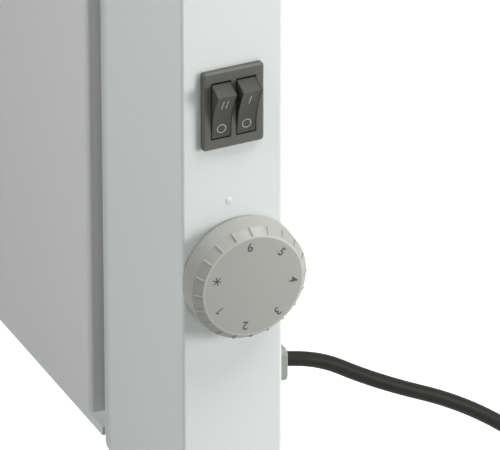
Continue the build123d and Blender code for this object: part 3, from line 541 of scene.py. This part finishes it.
# the finish's colour times one plus a changing amount
def scaleColour(material, amount):
    tree = material.node_tree
    baseColour = tree.nodes["Principled BSDF"].inputs["Base Color"]
    scaled = tree.nodes.new("ShaderNodeVectorMath")
    scaled.operation = "SCALE"
    tree.links.new(baseColour.links[0].from_socket, scaled.inputs[0])
    tree.links.new(mathNode(tree, "ADD", amount, 1.0), scaled.inputs["Scale"])
    tree.links.new(scaled.outputs[0], baseColour)


# painted highlight on the rounded edge round the knob's face: a lighter ring whose gain falls
# with the distance from its radius
paintedRimHighlightSet = {"radius": 21.65 * mm, "width": 0.6 * mm, "gain": 0.35}


def paintRimHighlight(material, s):
    tree = material.node_tree
    y, z = placeOn(tree)[1:]
    across = mathNode(tree, "SUBTRACT", y, knobY)
    up = mathNode(tree, "SUBTRACT", z, knobZ)
    squares = mathNode(tree, "ADD", timesNode(tree, across, across), timesNode(tree, up, up))
    reach = mathNode(tree, "SQRT", squares, 0.0)
    away = mathNode(tree, "ABSOLUTE", mathNode(tree, "SUBTRACT", reach, s["radius"]), 0.0)
    fade = mathNode(tree, "SUBTRACT", 1.0, mathNode(tree, "DIVIDE", away, s["width"]), clamp=True)
    scaleColour(material, timesNode(tree, fade, s["gain"]))


paintRimHighlight(finishes["knob_grey"], paintedRimHighlightSet)


# share of the way from one value to another, held between 0 and 1
def shareNode(tree, value, start, length):
    return mathNode(tree, "DIVIDE", mathNode(tree, "SUBTRACT", value, start), length, clamp=True)


# one between two values and nothing outside them, with a soft start and end
def bandNode(tree, value, low, high, soft):
    rising = shareNode(tree, value, low, soft)
    falling = mathNode(tree, "SUBTRACT", 1.0, shareNode(tree, value, high - soft, soft))
    return timesNode(tree, rising, falling)


# distance from the middle of the casing's width
def fromMiddle(tree, x):
    return mathNode(tree, "ABSOLUTE", mathNode(tree, "SUBTRACT", x, middleX), 0.0)


# painted shade in the panel's grooves: the paint's colour darkens with their depth, and along
# their floor towards each column
grooveShadeSet = {"floor": 27.0 * mm, "from": 4.0 * mm, "deep": 4.0 * mm, "reach": 5.0 * mm,
             "sideGain": -0.3, "floorGain": -0.2}


def paintGrooveShade(material, s):
    low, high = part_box("front_panel")
    tree = material.node_tree
    x, y = placeOn(tree)[:2]
    depth = shareNode(tree, y, low.y + s["from"], s["deep"])
    reach = shareNode(tree, fromMiddle(tree, x), (high.x - low.x) / 2 - s["floor"], s["reach"])
    onSide = timesNode(tree, depth, s["sideGain"])
    onFloor = timesNode(tree, reach, depth, s["floorGain"])
    scaleColour(material, mathNode(tree, "ADD", onSide, onFloor))


paintGrooveShade(finishes["panel_paint"], grooveShadeSet)

# painted shade on the rolled edge of a column: darker with the root of its depth, and a little less past the dip
rollShadeSet = {"width": 15.5 * mm, "deep": 11.5 * mm, "soft": 0.5 * mm, "margin": 1.0 * mm,
                "ends": 1.5 * mm, "dip": 0.55 * mm, "past": 0.8 * mm, "gain": -0.36,
                "back": 0.35}


def paintRollShade(material, s):
    low, high = casingLow, casingHigh
    tree = material.node_tree
    x, y, z = placeOn(tree)
    depth = shareNode(tree, y, low.y, s["dip"])
    past = shareNode(tree, y, low.y + s["dip"], s["past"])
    less = mathNode(tree, "SUBTRACT", 1.0, timesNode(tree, past, s["back"]))
    step = (sideX - low.x) / 2 - columnWidth
    bands = (bandNode(tree, fromMiddle(tree, x), step - s["margin"], step + s["width"], s["soft"]),
             bandNode(tree, y, low.y - s["margin"], low.y + s["deep"], s["soft"]),
             bandNode(tree, z, low.z, high.z, s["ends"]))
    root = mathNode(tree, "SQRT", depth, 0.0)
    scaleColour(material, timesNode(tree, root, less, *bands, s["gain"]))


paintRollShade(finishes["white_paint"], rollShadeSet)

# printed marks: a matt ink that sits on the plastic
inkSet = {"rough": 0.6, "grain": 5000.0, "bump": 0.1}
finishes["markLight"] = mouldedPlastic("lightInk", {
    **inkSet, "colour": (0.42, 0.42, 0.39), "drift": 0.05})
finishes["markDark"] = mouldedPlastic("darkInk", {
    **inkSet, "colour": (0.08, 0.08, 0.075), "drift": 0.08})
lead.data.materials.append(finishes["cord_sheath"])
print("finishes mixed:", len(finishes))


# every CAD node that stays gets its slot's finish
slotOfNode = {part["node"]: part["material_slot"] for part in frame["record"]["subparts"]}
bodyOfNode = {member: bodyName for bodyName, members in
              frame["record"]["behaviour"]["bodies"].items() for member in members}


def dressNode(name):
    piece = nodes[name]
    finish = finishes[slotOfNode[name]]
    if not piece.material_slots:
        piece.data.materials.append(finish)
    for place in piece.material_slots:
        place.material = finish


for nodeName in nodes:
    dressNode(nodeName)
print("CAD nodes dressed")


mergeGap = 0.002 * mm


# merge what lies together, turn the faces outwards and mark the hard edges
def settleMesh(mesh, merge, sharp):
    shape = bmesh.new()
    shape.from_mesh(mesh)
    bmesh.ops.remove_doubles(shape, verts=shape.verts, dist=merge)
    bmesh.ops.recalc_face_normals(shape, faces=shape.faces)
    shape.to_mesh(mesh)
    shape.free()
    mesh.shade_smooth()
    mesh.set_sharp_from_angle(angle=math.radians(sharp))


# a mesh as a piece: its finish, the body it rides on, its slot name, which is not used, and the nodes it replaces
def addPiece(name, mesh, finish, body, slotName, *replaced):
    mesh.materials.append(finishes[finish])
    piece = addObject(name, mesh)
    if replaced:
        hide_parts(*replaced)
    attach(piece, body)
    return piece


# a rigid node's copy with its doubles merged, its bends smooth, its hard edges kept, and
# its normals weighted by face size so that flats stay flat beside a bend
def finishedCopy(name, newName, sharp):
    mesh = nodes[name].data.copy()
    mesh.name = newName
    mesh.materials.clear()
    stored = mesh.attributes.get("custom_normal")
    if stored:
        mesh.attributes.remove(stored)
    settleMesh(mesh, mergeGap, sharp)
    slotName = slotOfNode[name]
    piece = addPiece(newName, mesh, slotName, bodyOfNode[name], slotName, name)
    piece.modifiers.new("evenNormals", "WEIGHTED_NORMAL").keep_sharp = True


# each node's copy, and the angle in degrees past which an edge of it stays hard
copySet = {
    "right_casing": ("controlColumn", 25.0),
    "left_casing": ("farColumn", 25.0),
    "front_panel": ("mainFrontPanel", 25.0),
    "rear_panel": ("backSheet", 25.0),
    "outlet_grille": ("outletLouvres", 25.0),
    "inlet_grille": ("inletSlots", 25.0),
    "switch_housing": ("switchFrame", 30.0),
    "cord_gland": ("leadGland", 40.0),
    "foot_right": ("footNearControls", 40.0),
    "foot_left": ("footFarSide", 40.0),
    "plug_body": ("plugMoulding", 50.0),
    "plug_pins": ("plugPins", 50.0),
    "heating_tube": ("hairpinSheath", 40.0),
    "tube_bushes": ("brassBushes", 40.0),
    "thermostat_shaft": ("dialShaft", 40.0),
    "sensing_bulb": ("bulbAndCapillary", 40.0),
}
for nodeName, (pieceName, sharpAngle) in copySet.items():
    finishedCopy(nodeName, pieceName, sharpAngle)


# a mesh's points as an array with a row for each, and the array's way back into the mesh
def meshPoints(mesh):
    co = np.empty(len(mesh.vertices) * 3, np.float32)
    mesh.vertices.foreach_get("co", co)
    return co.reshape(-1, 3)


def movePoints(mesh, points):
    mesh.vertices.foreach_set("co", points.astype(np.float32).ravel())
    mesh.update()


# the pressed pointer is a low soft swelling in the paint: what stands past the side face is
# scaled down
pointerSet = {"share": 0.5, "slack": 0.01 * mm}


def lowerPointer(mesh, s):
    points = meshPoints(mesh)
    x = points[:, 0]
    points[:, 0] = np.where(x > sideX + s["slack"], sideX + (x - sideX) * s["share"], x)
    movePoints(mesh, points)


# front to side bend of a column, made crisper: each point of the bend keeps its angle about
# the bend's centre, while its radius shrinks and the centre moves out towards the corner
bendSet = {"before": 2.5 * mm, "after": 1.3 * mm, "slack": 0.001 * mm, "least": 1e-9}


def tightenBend(mesh, cornerX, side, s):
    points = meshPoints(mesh)
    across = (points[:, 0] - cornerX) * side + s["before"]
    front = casingLow.y + s["before"] - points[:, 1]
    inside = (across > -s["slack"]) & (front > -s["slack"])
    reach = np.maximum(np.hypot(across, front), s["least"])
    scale = (reach - s["before"] + s["after"]) / reach
    shift = s["before"] - s["after"]
    newX = cornerX + side * (across * scale + shift - s["before"])
    newY = casingLow.y + s["before"] - (front * scale + shift)
    points[:, 0] = np.where(inside, newX, points[:, 0])
    points[:, 1] = np.where(inside, newY, points[:, 1])
    movePoints(mesh, points)


# rolled edge beside the groove, made broader: the distance of its points from the column's
# step is stretched, so that the edge turns away more gently
rollSet = {"before": 12.0 * mm, "after": 14.5 * mm, "deep": 6.0 * mm, "slack": 0.01 * mm}


def widenRoll(mesh, stepX, side, s):
    points = meshPoints(mesh)
    across = (points[:, 0] - stepX) * side
    inside = (across > s["slack"]) & (across < s["before"] + s["slack"]) & \
             (points[:, 1] < casingLow.y + s["deep"] - s["slack"])
    wide = stepX + side * across * s["after"] / s["before"]
    points[:, 0] = np.where(inside, wide, points[:, 0])
    movePoints(mesh, points)


lowerPointer(bpy.data.meshes["controlColumn"], pointerSet)
for columnName, cornerX, side in (("controlColumn", sideX, 1), ("farColumn", casingLow.x, -1)):
    column = bpy.data.meshes[columnName]
    tightenBend(column, cornerX, side, bendSet)
    widenRoll(column, cornerX - side * columnWidth, side, rollSet)
print("copies finished:", len(copySet))


def faceMesh(name, points, faces):
    mesh = bpy.data.meshes.new(name)
    mesh.from_pydata(points.tolist(), [], faces.tolist())
    mesh.update()
    return mesh


# a mesh from a grid of points, row by row; a closed grid joins its last column to the first
def gridMesh(name, grid, closed):
    rows, columns = grid.shape[:2]
    index = np.arange(rows * columns).reshape(rows, columns)
    right = np.roll(index, -1, axis=1) if closed else index[:, 1:]
    left = index if closed else index[:, :-1]
    quads = np.stack([left[:-1], right[:-1], right[1:], left[1:]], -1).reshape(-1, 4)
    return faceMesh(name, grid.reshape(-1, 3), quads)


# a polyline with each inner corner rounded by a quadratic curve that starts and ends
# the given distance from the corner
def softened(points, cuts, steps=5):
    points = np.array(points, float)
    out = [points[0]]
    t = np.linspace(0, 1, steps)[:, None]
    for a, b, c, cut in zip(points, points[1:], points[2:], cuts):
        if cut == 0:
            out.append(b)
            continue
        start = b + (a - b) / np.linalg.norm(a - b) * cut
        end = b + (c - b) / np.linalg.norm(c - b) * cut
        out.extend((1 - t) ** 2 * start + 2 * t * (1 - t) * b + t ** 2 * end)
    out.append(points[-1])
    return np.array(out)


# strap round the coil: its loop is the outline of the turns it holds, as the farthest of
# their middles in each direction plus an offset, and the last stretch lies on the first
tieSet = {
    "at": 0.875,  # turns round the coil
    "width": 10.0 * mm, "thick": 0.9 * mm, "slack": 0.05 * mm,
    "start": 62.0, "lap": 56.0,  # degrees round the loop
    "lift": (290.0, 60.0),  # where the lap starts to rise over the first stretch
    "steps": 105, "round": 16,
    "flatWide": 0.25, "flatThick": 0.5,  # how square the strap's section is, 1 is round
    "floorAt": 0.25 * mm,  # middle of the stretch that lies on the floor
    "sharp": 50.0,
}


# a wave brought nearer to a square one by a power below one
def squared(wave, power):
    return np.sign(wave) * np.abs(wave) ** power


def makeTie(s, coil):
    turns = np.arange(s["at"], 2 * coil["coilTurns"] + coil["climb"], 1.0)
    held = coilPoints(coil, turns)
    a = 2 * math.pi * s["at"]
    outward = np.array([math.cos(a), math.sin(a), 0.0])
    along = np.array([-math.sin(a), math.cos(a), 0.0])
    upward = np.array([0.0, 0.0, 1.0])
    middle = coilMiddle(coil)
    flat = np.stack([(held - middle) @ outward, held[:, 2]], 1)
    degrees = np.linspace(0.0, 360.0 + s["lap"], s["steps"])
    way = np.radians(s["start"] + degrees)
    normal = np.stack([np.cos(way), np.sin(way)], 1)
    loop = flat[(normal @ flat.T).argmax(1)]
    liftStart, liftLength = s["lift"]
    share = eased(np.clip((degrees - liftStart) / liftLength, 0, 1))
    lift = coil["radius"] + s["slack"] + (s["thick"] + s["slack"]) * share
    ring = (np.arange(s["round"]) + 0.5) * 2 * np.pi / s["round"]
    aside = squared(np.cos(ring), s["flatWide"]) * s["width"] / 2
    up = squared(np.sin(ring), s["flatThick"]) * s["thick"] / 2
    offset = lift[:, None] + s["thick"] / 2 + up[None, :]
    section = loop[:, None, :] + normal[:, None, :] * offset[:, :, None]
    section[:, :, 1] = np.maximum(section[:, :, 1], s["floorAt"] + up[None, :] / 2)
    grid = (middle + section[:, :, :1] * outward + aside[None, :, None] * along
            + section[:, :, 1:] * upward)
    caps = [np.broadcast_to(grid[end].mean(0), grid[end].shape) for end in (0, -1)]
    mesh = gridMesh("coilTie", np.concatenate([caps[0][None], grid, caps[1][None]]), True)
    settleMesh(mesh, mergeGap, s["sharp"])
    addPiece("coilTie", mesh, "plug_rubber", "casing", "cord_sheath")


makeTie(tieSet, leadSet)
print("coil tied")


# knob sizes in mm: its own axis from the skirt's foot to the face, and radii
knobSet = {
    "gap": 0.5, "height": 12.1, "skirt": 25.5, "skirtTop": 24.9, "foot": 24.7, "drop": 3.5,
    "face": 21.9, "wall": 1.8, "hub": 5.5, "hubStart": 0.5, "bore": 3.05, "boreEnd": 8.05,
    "edge": 0.5, "innerRing": 3.0,
    # how far from each corner of the underside, skirt and ledge its rounding starts
    "cuts": (0, 0, 0.15, 0.5, 1.0, 0.2, 0.35, 0.12, 0.12), "ledge": 0.3,
    "chamferRows": 26, "chamferStart": 0.35, "chamferEnd": 0.6,
    "ribs": 20, "ribWidth": 0.85, "ribProud": 0.8,
    # half of a rib's section, in parts of its width and of its height
    "ribAcross": (0.64, 0.58, 0.52, 0.46, 0.38, 0.2), "ribCrest": (0, 0.1, 0.5, 0.86, 0.98, 1),
    "between": 7,  # points from one rib to the next
    "ribFull": 0.9, "ribFades": 0.75, "ribEnds": 0.25,  # along the axis, from foot and face
    "ledgePoints": 4, "sharp": 38.0, "merge": 0.003 * mm,
}


# knob: a profile turned round the shaft; on the chamfer the radius is raised by ribs, each
# with steep sides and a flat crest, and each as high as the skirt's edge where it starts
def makeKnob(s):
    top = s["height"]
    low = top - s["drop"]
    inner = top - s["wall"]
    slope = (s["foot"] - s["face"]) / s["drop"]
    under = [(s["boreEnd"], 0), (s["boreEnd"], s["bore"]), (s["hubStart"], s["bore"]),
             (s["hubStart"], s["hub"]), (inner, s["hub"]), (inner, s["face"] - s["wall"]),
             (0.0, s["skirt"] - s["wall"]), (0.0, s["skirt"]), (low, s["skirtTop"]),
             (low, s["foot"]), (low + s["ledge"], s["foot"] - slope * s["ledge"])]
    lower = softened(under, s["cuts"])
    heights = np.linspace(low + s["chamferStart"], top - s["chamferEnd"], s["chamferRows"])
    chamfer = np.stack([heights, s["face"] + slope * (top - heights)], 1)
    upper = softened([chamfer[-1], (top, s["face"]), (top, s["innerRing"]), (top, 0)],
                     [s["edge"], 0])
    profile = np.concatenate([lower, chamfer, upper[1:]])
    half = np.array(s["ribAcross"]) * s["ribWidth"]
    across = np.concatenate([-half, [0.0], half[::-1]])
    crest = np.array(s["ribCrest"])
    crest = np.concatenate([crest, [1.0], crest[::-1]])
    near = across / s["foot"]
    pitch = 2 * np.pi / s["ribs"]
    apart = np.linspace(near[-1], near[0] + pitch, s["between"] + 2)[1:-1]
    angles = (np.arange(s["ribs"])[:, None] * pitch + np.concatenate([near, apart])).ravel()
    hump = np.tile(np.concatenate([crest, np.zeros(len(apart))]), s["ribs"])
    x, r = profile[:, 0], profile[:, 1]
    onChamfer = np.arange(len(x)) >= len(lower) - s["ledgePoints"]
    rise = np.interp(x, [low, low + s["ribFull"], top - s["ribFades"], top - s["ribEnds"]],
                     [s["skirtTop"] - s["foot"], s["ribProud"], s["ribProud"], 0.0])
    radius = r[:, None] + np.where(onChamfer, rise, 0)[:, None] * hump[None, :]
    grid = np.stack([
        np.broadcast_to(x[:, None], radius.shape) + s["gap"],
        radius * np.cos(angles)[None, :],
        radius * np.sin(angles)[None, :],
    ], -1) * mm + np.array([sideX, knobY, knobZ])
    mesh = gridMesh("ribbedKnob", grid, True)
    settleMesh(mesh, s["merge"], s["sharp"])
    addPiece("ribbedKnob", mesh, "knob_grey", "thermostat_knob", "knob_grey", "knob")


makeKnob(knobSet)
print("knob turned")


# figures round the knob face, tops outwards; angle from +Y towards +Z
dialSet = {
    "radius": 17.7, "size": 5.1, "oneHeight": 3.6, "bold": 0.02, "proud": 0.03,
    "marks": {"6": 94.4, "5": 45.4, "4": -3.6, "3": -52.6, "2": -101.6, "1": -150.6},
    "near": 16.8, "frost": 160.4, "frostSize": 3.9, "frostStroke": 0.5,
    "frostTurns": (90, 30, 150), "curveSteps": 6,
}


def figureMesh(text, s):
    curve = bpy.data.curves.new("figure" + text, "FONT")
    curve.body = text
    curve.size = s["size"]
    curve.align_x = "CENTER"
    curve.align_y = "CENTER"
    curve.offset = s["bold"] * s["size"]
    curve.resolution_u = s["curveSteps"]
    holder = addObject("figureHolder", curve)
    bpy.context.view_layer.update()
    mesh = bpy.data.meshes.new_from_object(holder)
    bpy.data.objects.remove(holder)
    return mesh


# the figure one: a plain stem with a slanting flag, in parts of its height
oneOutline = ((0.0, 0.0), (0.14, 0.0), (0.14, 1.0), (0.03, 1.0), (-0.27, 0.76), (-0.2, 0.64),
              (0.0, 0.79))


def oneMesh(height):
    points = np.pad(np.array(oneOutline) * height, ((0, 0), (0, 1)))
    return faceMesh("figure1", points, np.arange(len(points))[None])


# a flat outline in its own right and up axes is laid on the face, turned by the angle
def layOnDial(mesh, s, angle, radius):
    flat = meshPoints(mesh)[:, :2]
    flat = flat - (flat.min(0) + flat.max(0)) / 2
    a = math.radians(angle)
    outward = np.array([0, math.cos(a), math.sin(a)])
    across = np.array([0, math.sin(a), -math.cos(a)])
    faceX = (knobSet["gap"] + knobSet["height"] + s["proud"]) * mm
    middle = np.array([sideX + faceX, knobY, knobZ]) + outward * radius * mm
    movePoints(mesh, middle + (flat[:, :1] * across + flat[:, 1:] * outward) * mm)


# frost mark: three crossed strokes, each a rectangle along its own direction
def frostMesh(s):
    turns = np.radians(s["frostTurns"])
    along = np.stack([np.cos(turns), np.sin(turns), 0 * turns], 1)[:, None, :]
    across = np.stack([-np.sin(turns), np.cos(turns), 0 * turns], 1)[:, None, :]
    signs = np.array([[-0.5, -0.5], [0.5, -0.5], [0.5, 0.5], [-0.5, 0.5]])
    corners = (along * signs[:, :1] * s["frostSize"]
               + across * signs[:, 1:] * s["frostStroke"]).reshape(-1, 3)
    return faceMesh("frostMark", corners, np.arange(len(corners)).reshape(len(turns), -1))


def makeDial(s):
    for text, angle in s["marks"].items():
        if text == "1":
            mesh, radius = oneMesh(s["oneHeight"]), s["near"]
        else:
            mesh, radius = figureMesh(text, s), s["radius"]
        layOnDial(mesh, s, angle, radius)
        addPiece("dialFigure" + text, mesh, "markDark", "thermostat_knob", "knob_grey")
    frost = frostMesh(s)
    layOnDial(frost, s, s["frost"], s["near"])
    addPiece("dialFrostMark", frost, "markDark", "thermostat_knob", "knob_grey")


makeDial(dialSet)
print("dial marked")


# rocker sizes in mm; pairs go out from the pivot, square to the rocker, and up the rocker
rockerSet = {
    "half": 4.05, "edge": 0.3, "edgeSteps": 5, "tilt": 16.5,
    "crest": (5.84, 10.8), "hollow": 4.3, "end": (-1.6, 11.95), "tail": (-3.2, 8.5),
    "crestCut": 0.3, "endCut": 0.5, "faceRows": 22, "faceMargin": 0.4,
    "stem": (-8.0, 2.0), "pivot": 1.2, "pivotReach": 5.05, "pivotSteps": 32, "sharp": 40.0,
}


# outward directions along a closed outline, from each point's two neighbours
def ringNormals(ring):
    tangent = np.roll(ring, -1, axis=0) - np.roll(ring, 1, axis=0)
    normal = np.stack([tangent[:, 1], -tangent[:, 0]], 1)
    return normal / np.linalg.norm(normal, axis=1)[:, None]


# height of the hollowed face above the pivot: an arc through both crests and the middle
def hollowAt(s, v):
    out, half = s["crest"]
    depth = out - s["hollow"]
    radius = (half ** 2 + depth ** 2) / (2 * depth)
    return s["hollow"] + radius - np.sqrt(radius ** 2 - v ** 2)


# middle of a rocker's pivot
def pivotOf(node):
    return joints[node + "_press"]["pos_m"]


# places from u square to the rocker, w along the pivot and v up the rocker, after the tilt
def rockerPlace(s, node, u, w, v):
    a = math.radians(s["tilt"])
    x = u * math.cos(a) + v * math.sin(a)
    z = -u * math.sin(a) + v * math.cos(a)
    return np.stack([x, w, z], -1) * mm + np.array(pivotOf(node))


# a square stem behind the rocker and a round pivot pin through it
def addStemAndPivot(mesh, s, node):
    shape = bmesh.new()
    shape.from_mesh(mesh)
    old = set(shape.verts)
    (stemEnd, stemHalf), stemStart = s["stem"], s["tail"][0]
    stemPlace = Matrix.Translation(((stemStart + stemEnd) / 2, 0, 0)) @ Matrix.Diagonal(
        (stemStart - stemEnd, 2 * stemHalf, 2 * stemHalf, 1))
    bmesh.ops.create_cube(shape, size=1.0, matrix=stemPlace)
    bmesh.ops.create_cone(shape, cap_ends=True, segments=s["pivotSteps"], radius1=s["pivot"],
                          radius2=s["pivot"], depth=2 * s["pivotReach"],
                          matrix=Matrix.Rotation(math.pi / 2, 4, "X"))
    added = [v for v in shape.verts if v not in old]
    turn = Matrix.Rotation(math.radians(s["tilt"]), 4, "Y")
    place = Matrix.Translation(pivotOf(node)) @ turn @ Matrix.Scale(mm, 4)
    bmesh.ops.transform(shape, matrix=place, verts=added)
    shape.to_mesh(mesh)
    shape.free()


# rocker: its side outline carried across its width, drawn in along its normals near both
# sides so that the edges are round
def makeRocker(s, name, node):
    (out, half), (endOut, endHalf), (tailOut, tailHalf) = s["crest"], s["end"], s["tail"]
    v = np.linspace(half - s["faceMargin"], s["faceMargin"] - half, s["faceRows"])
    face = np.stack([hollowAt(s, v), v], 1).tolist()
    corners = [(tailOut, 0), (tailOut, tailHalf), (endOut, endHalf), (out, half)] + face + \
              [(out, -half), (endOut, -endHalf), (tailOut, -tailHalf), (tailOut, 0)]
    cuts = [0, s["endCut"], s["crestCut"]] + [0] * len(face) + [s["crestCut"], s["endCut"], 0]
    ring = softened(corners, cuts)[:-1]
    normals = ringNormals(ring)
    turn = np.linspace(0, np.pi / 2, s["edgeSteps"])
    drawIn = s["edge"] * (1 - np.sin(turn))
    reach = s["half"] - s["edge"] * (1 - np.cos(turn))
    inset = np.concatenate([drawIn, [0.0], drawIn[::-1]])
    cap = np.broadcast_to((ring - normals * s["edge"]).mean(0), ring.shape)
    lines = [cap] + [ring - normals * depth for depth in inset] + [cap]
    across = np.concatenate([[-s["half"]], -reach, [0.0], reach[::-1], [s["half"]]])
    grid = np.stack([rockerPlace(s, node, line[:, 0], np.full(len(line), w), line[:, 1])
                     for line, w in zip(lines, across)])
    mesh = gridMesh(name, grid, True)
    addStemAndPivot(mesh, s, node)
    settleMesh(mesh, mergeGap, s["sharp"])
    addPiece(name, mesh, "rocker_grey", "power_" + node, "rocker_grey", node)


# signs on the rockers in mm: flat strips laid just above the hollowed face
signSet = {"proud": 0.03, "ringRadius": 2.0, "ringStroke": 0.38, "ringAt": -6.8, "ringSteps": 40,
           "barHeight": 4.6, "barStroke": 0.38, "barAt": 5.8, "barSpacing": 1.9,
           "barLean": 0.07, "barRows": 9}


def layOnRocker(name, node, w, v, closed):
    u = hollowAt(rockerSet, v) + signSet["proud"]
    mesh = gridMesh(name, rockerPlace(rockerSet, node, u, w, v), closed)
    addPiece(name, mesh, "markLight", "power_" + node, "rocker_grey")


def makeSigns(s, label, node, bars):
    turn = np.linspace(0, 2 * np.pi, s["ringSteps"], endpoint=False)
    radii = np.array([s["ringRadius"], s["ringRadius"] - s["ringStroke"]])[:, None]
    layOnRocker(label + "OffRing", node, radii * np.sin(turn),
                radii * np.cos(turn) + s["ringAt"], True)
    up = np.linspace(-0.5, 0.5, s["barRows"])[:, None] * s["barHeight"]
    edges = np.array([[-0.5, 0.5]]) * s["barStroke"]
    for i in range(bars):
        w = edges + (i - (bars - 1) / 2) * s["barSpacing"] + s["barLean"] * up
        layOnRocker(label + "OnBar" + str(i + 1), node, w,
                    np.broadcast_to(up + s["barAt"], w.shape), False)


for label, node, bars in (("rockerTwo", "rocker_two", 2), ("rockerOne", "rocker_one", 1)):
    makeRocker(rockerSet, label, node)
    makeSigns(signSet, label, node, bars)
print("rockers and their signs made")


# studio: a near soft key low on the right of the control side, a higher lamp behind it, a
# fill square to the front panel, a pale surround and a white floor
lightSet = {
    "worldLevel": 0.06,
    "floorColour": (0.55, 0.55, 0.55), "floorDrift": 0.005,
    "floorLift": 0.9,  # how white the floor is where it is seen
    "floorRadii": (0.0, 2.0, 30.0),
    "floorSteps": 64, "floorDrop": 0.02 * mm, "floorSharp": 60.0,
    "mottle": (3.0, 2.0), "rough": 0.9, "shine": 0.1,
    "lamps": {
        "keyLamp": {"place": (0.79, 0.62, 0.26), "size": 0.28, "power": 4.1},
        "highLamp": {"place": (0.56, 0.45, 1.1), "size": 0.5, "power": 7.5},
        "frontLamp": {"place": (0.36, -0.6, 0.88), "size": 0.5, "power": 4.2},
    },
}


def makeLamp(name, s, target):
    data = bpy.data.lights.new(name, "AREA")
    data.shape = "SQUARE"
    data.size = s["size"]
    data.energy = s["power"]
    lamp = addObject(name, data)
    aimAlong(lamp, s["place"], target - Vector(s["place"]))
    lamp.visible_camera = False


# one where the surround is seen itself, or in a gloss or through glass, and else nothing
def seenNode(tree):
    rays = tree.nodes.new("ShaderNodeLightPath").outputs
    seen = mathNode(tree, "MAXIMUM", rays["Is Camera Ray"], rays["Is Transmission Ray"])
    return mathNode(tree, "MAXIMUM", seen, rays["Is Glossy Ray"])


def makeWorld(s):
    world = bpy.data.worlds.new("paleStudio")
    world.use_nodes = True
    tree = world.node_tree
    shader = tree.nodes["Background"]
    shader.inputs["Color"].default_value = (1, 1, 1, 1)
    seen = timesNode(tree, seenNode(tree), 1 - s["worldLevel"])
    tree.links.new(mathNode(tree, "ADD", seen, s["worldLevel"]), shader.inputs["Strength"])
    bpy.context.scene.world = world


def makeFloor(s):
    turn = np.linspace(0, 2 * np.pi, s["floorSteps"], endpoint=False)
    radii = np.array(s["floorRadii"])[:, None]
    x, y = radii * np.cos(turn), radii * np.sin(turn)
    mesh = gridMesh("studioFloor", np.stack([x, y, 0 * x - s["floorDrop"]], -1), True)
    settleMesh(mesh, mergeGap, s["floorSharp"])
    material, tree, shader, coords = newMaterial("paleFloor")
    mottle = noiseNode(tree, coords, *s["mottle"])
    tree.links.new(blendColours(tree, mottle, lighter(s["floorColour"], 1 - s["floorDrift"]),
                                lighter(s["floorColour"], 1 + s["floorDrift"])),
                   shader.inputs["Base Color"])
    shader.inputs["Roughness"].default_value = s["rough"]
    shader.inputs["Specular IOR Level"].default_value = s["shine"]
    glow = tree.nodes.new("ShaderNodeEmission")
    tree.links.new(timesNode(tree, seenNode(tree), s["floorLift"]),
                   glow.inputs["Strength"])
    total = tree.nodes.new("ShaderNodeAddShader")
    tree.links.new(shader.outputs["BSDF"], total.inputs[0])
    tree.links.new(glow.outputs["Emission"], total.inputs[1])
    tree.links.new(total.outputs["Shader"], tree.nodes["Material Output"].inputs["Surface"])
    mesh.materials.append(material)
    floor = addObject("studioFloor", mesh)


target = Vector((sideX, 0.0, knobZ))
for lampName, lampSet in lightSet["lamps"].items():
    makeLamp(lampName, lampSet, target)
makeWorld(lightSet)
makeFloor(lightSet)
bpy.context.scene.view_settings.view_transform = "Standard"
print("studio lit")
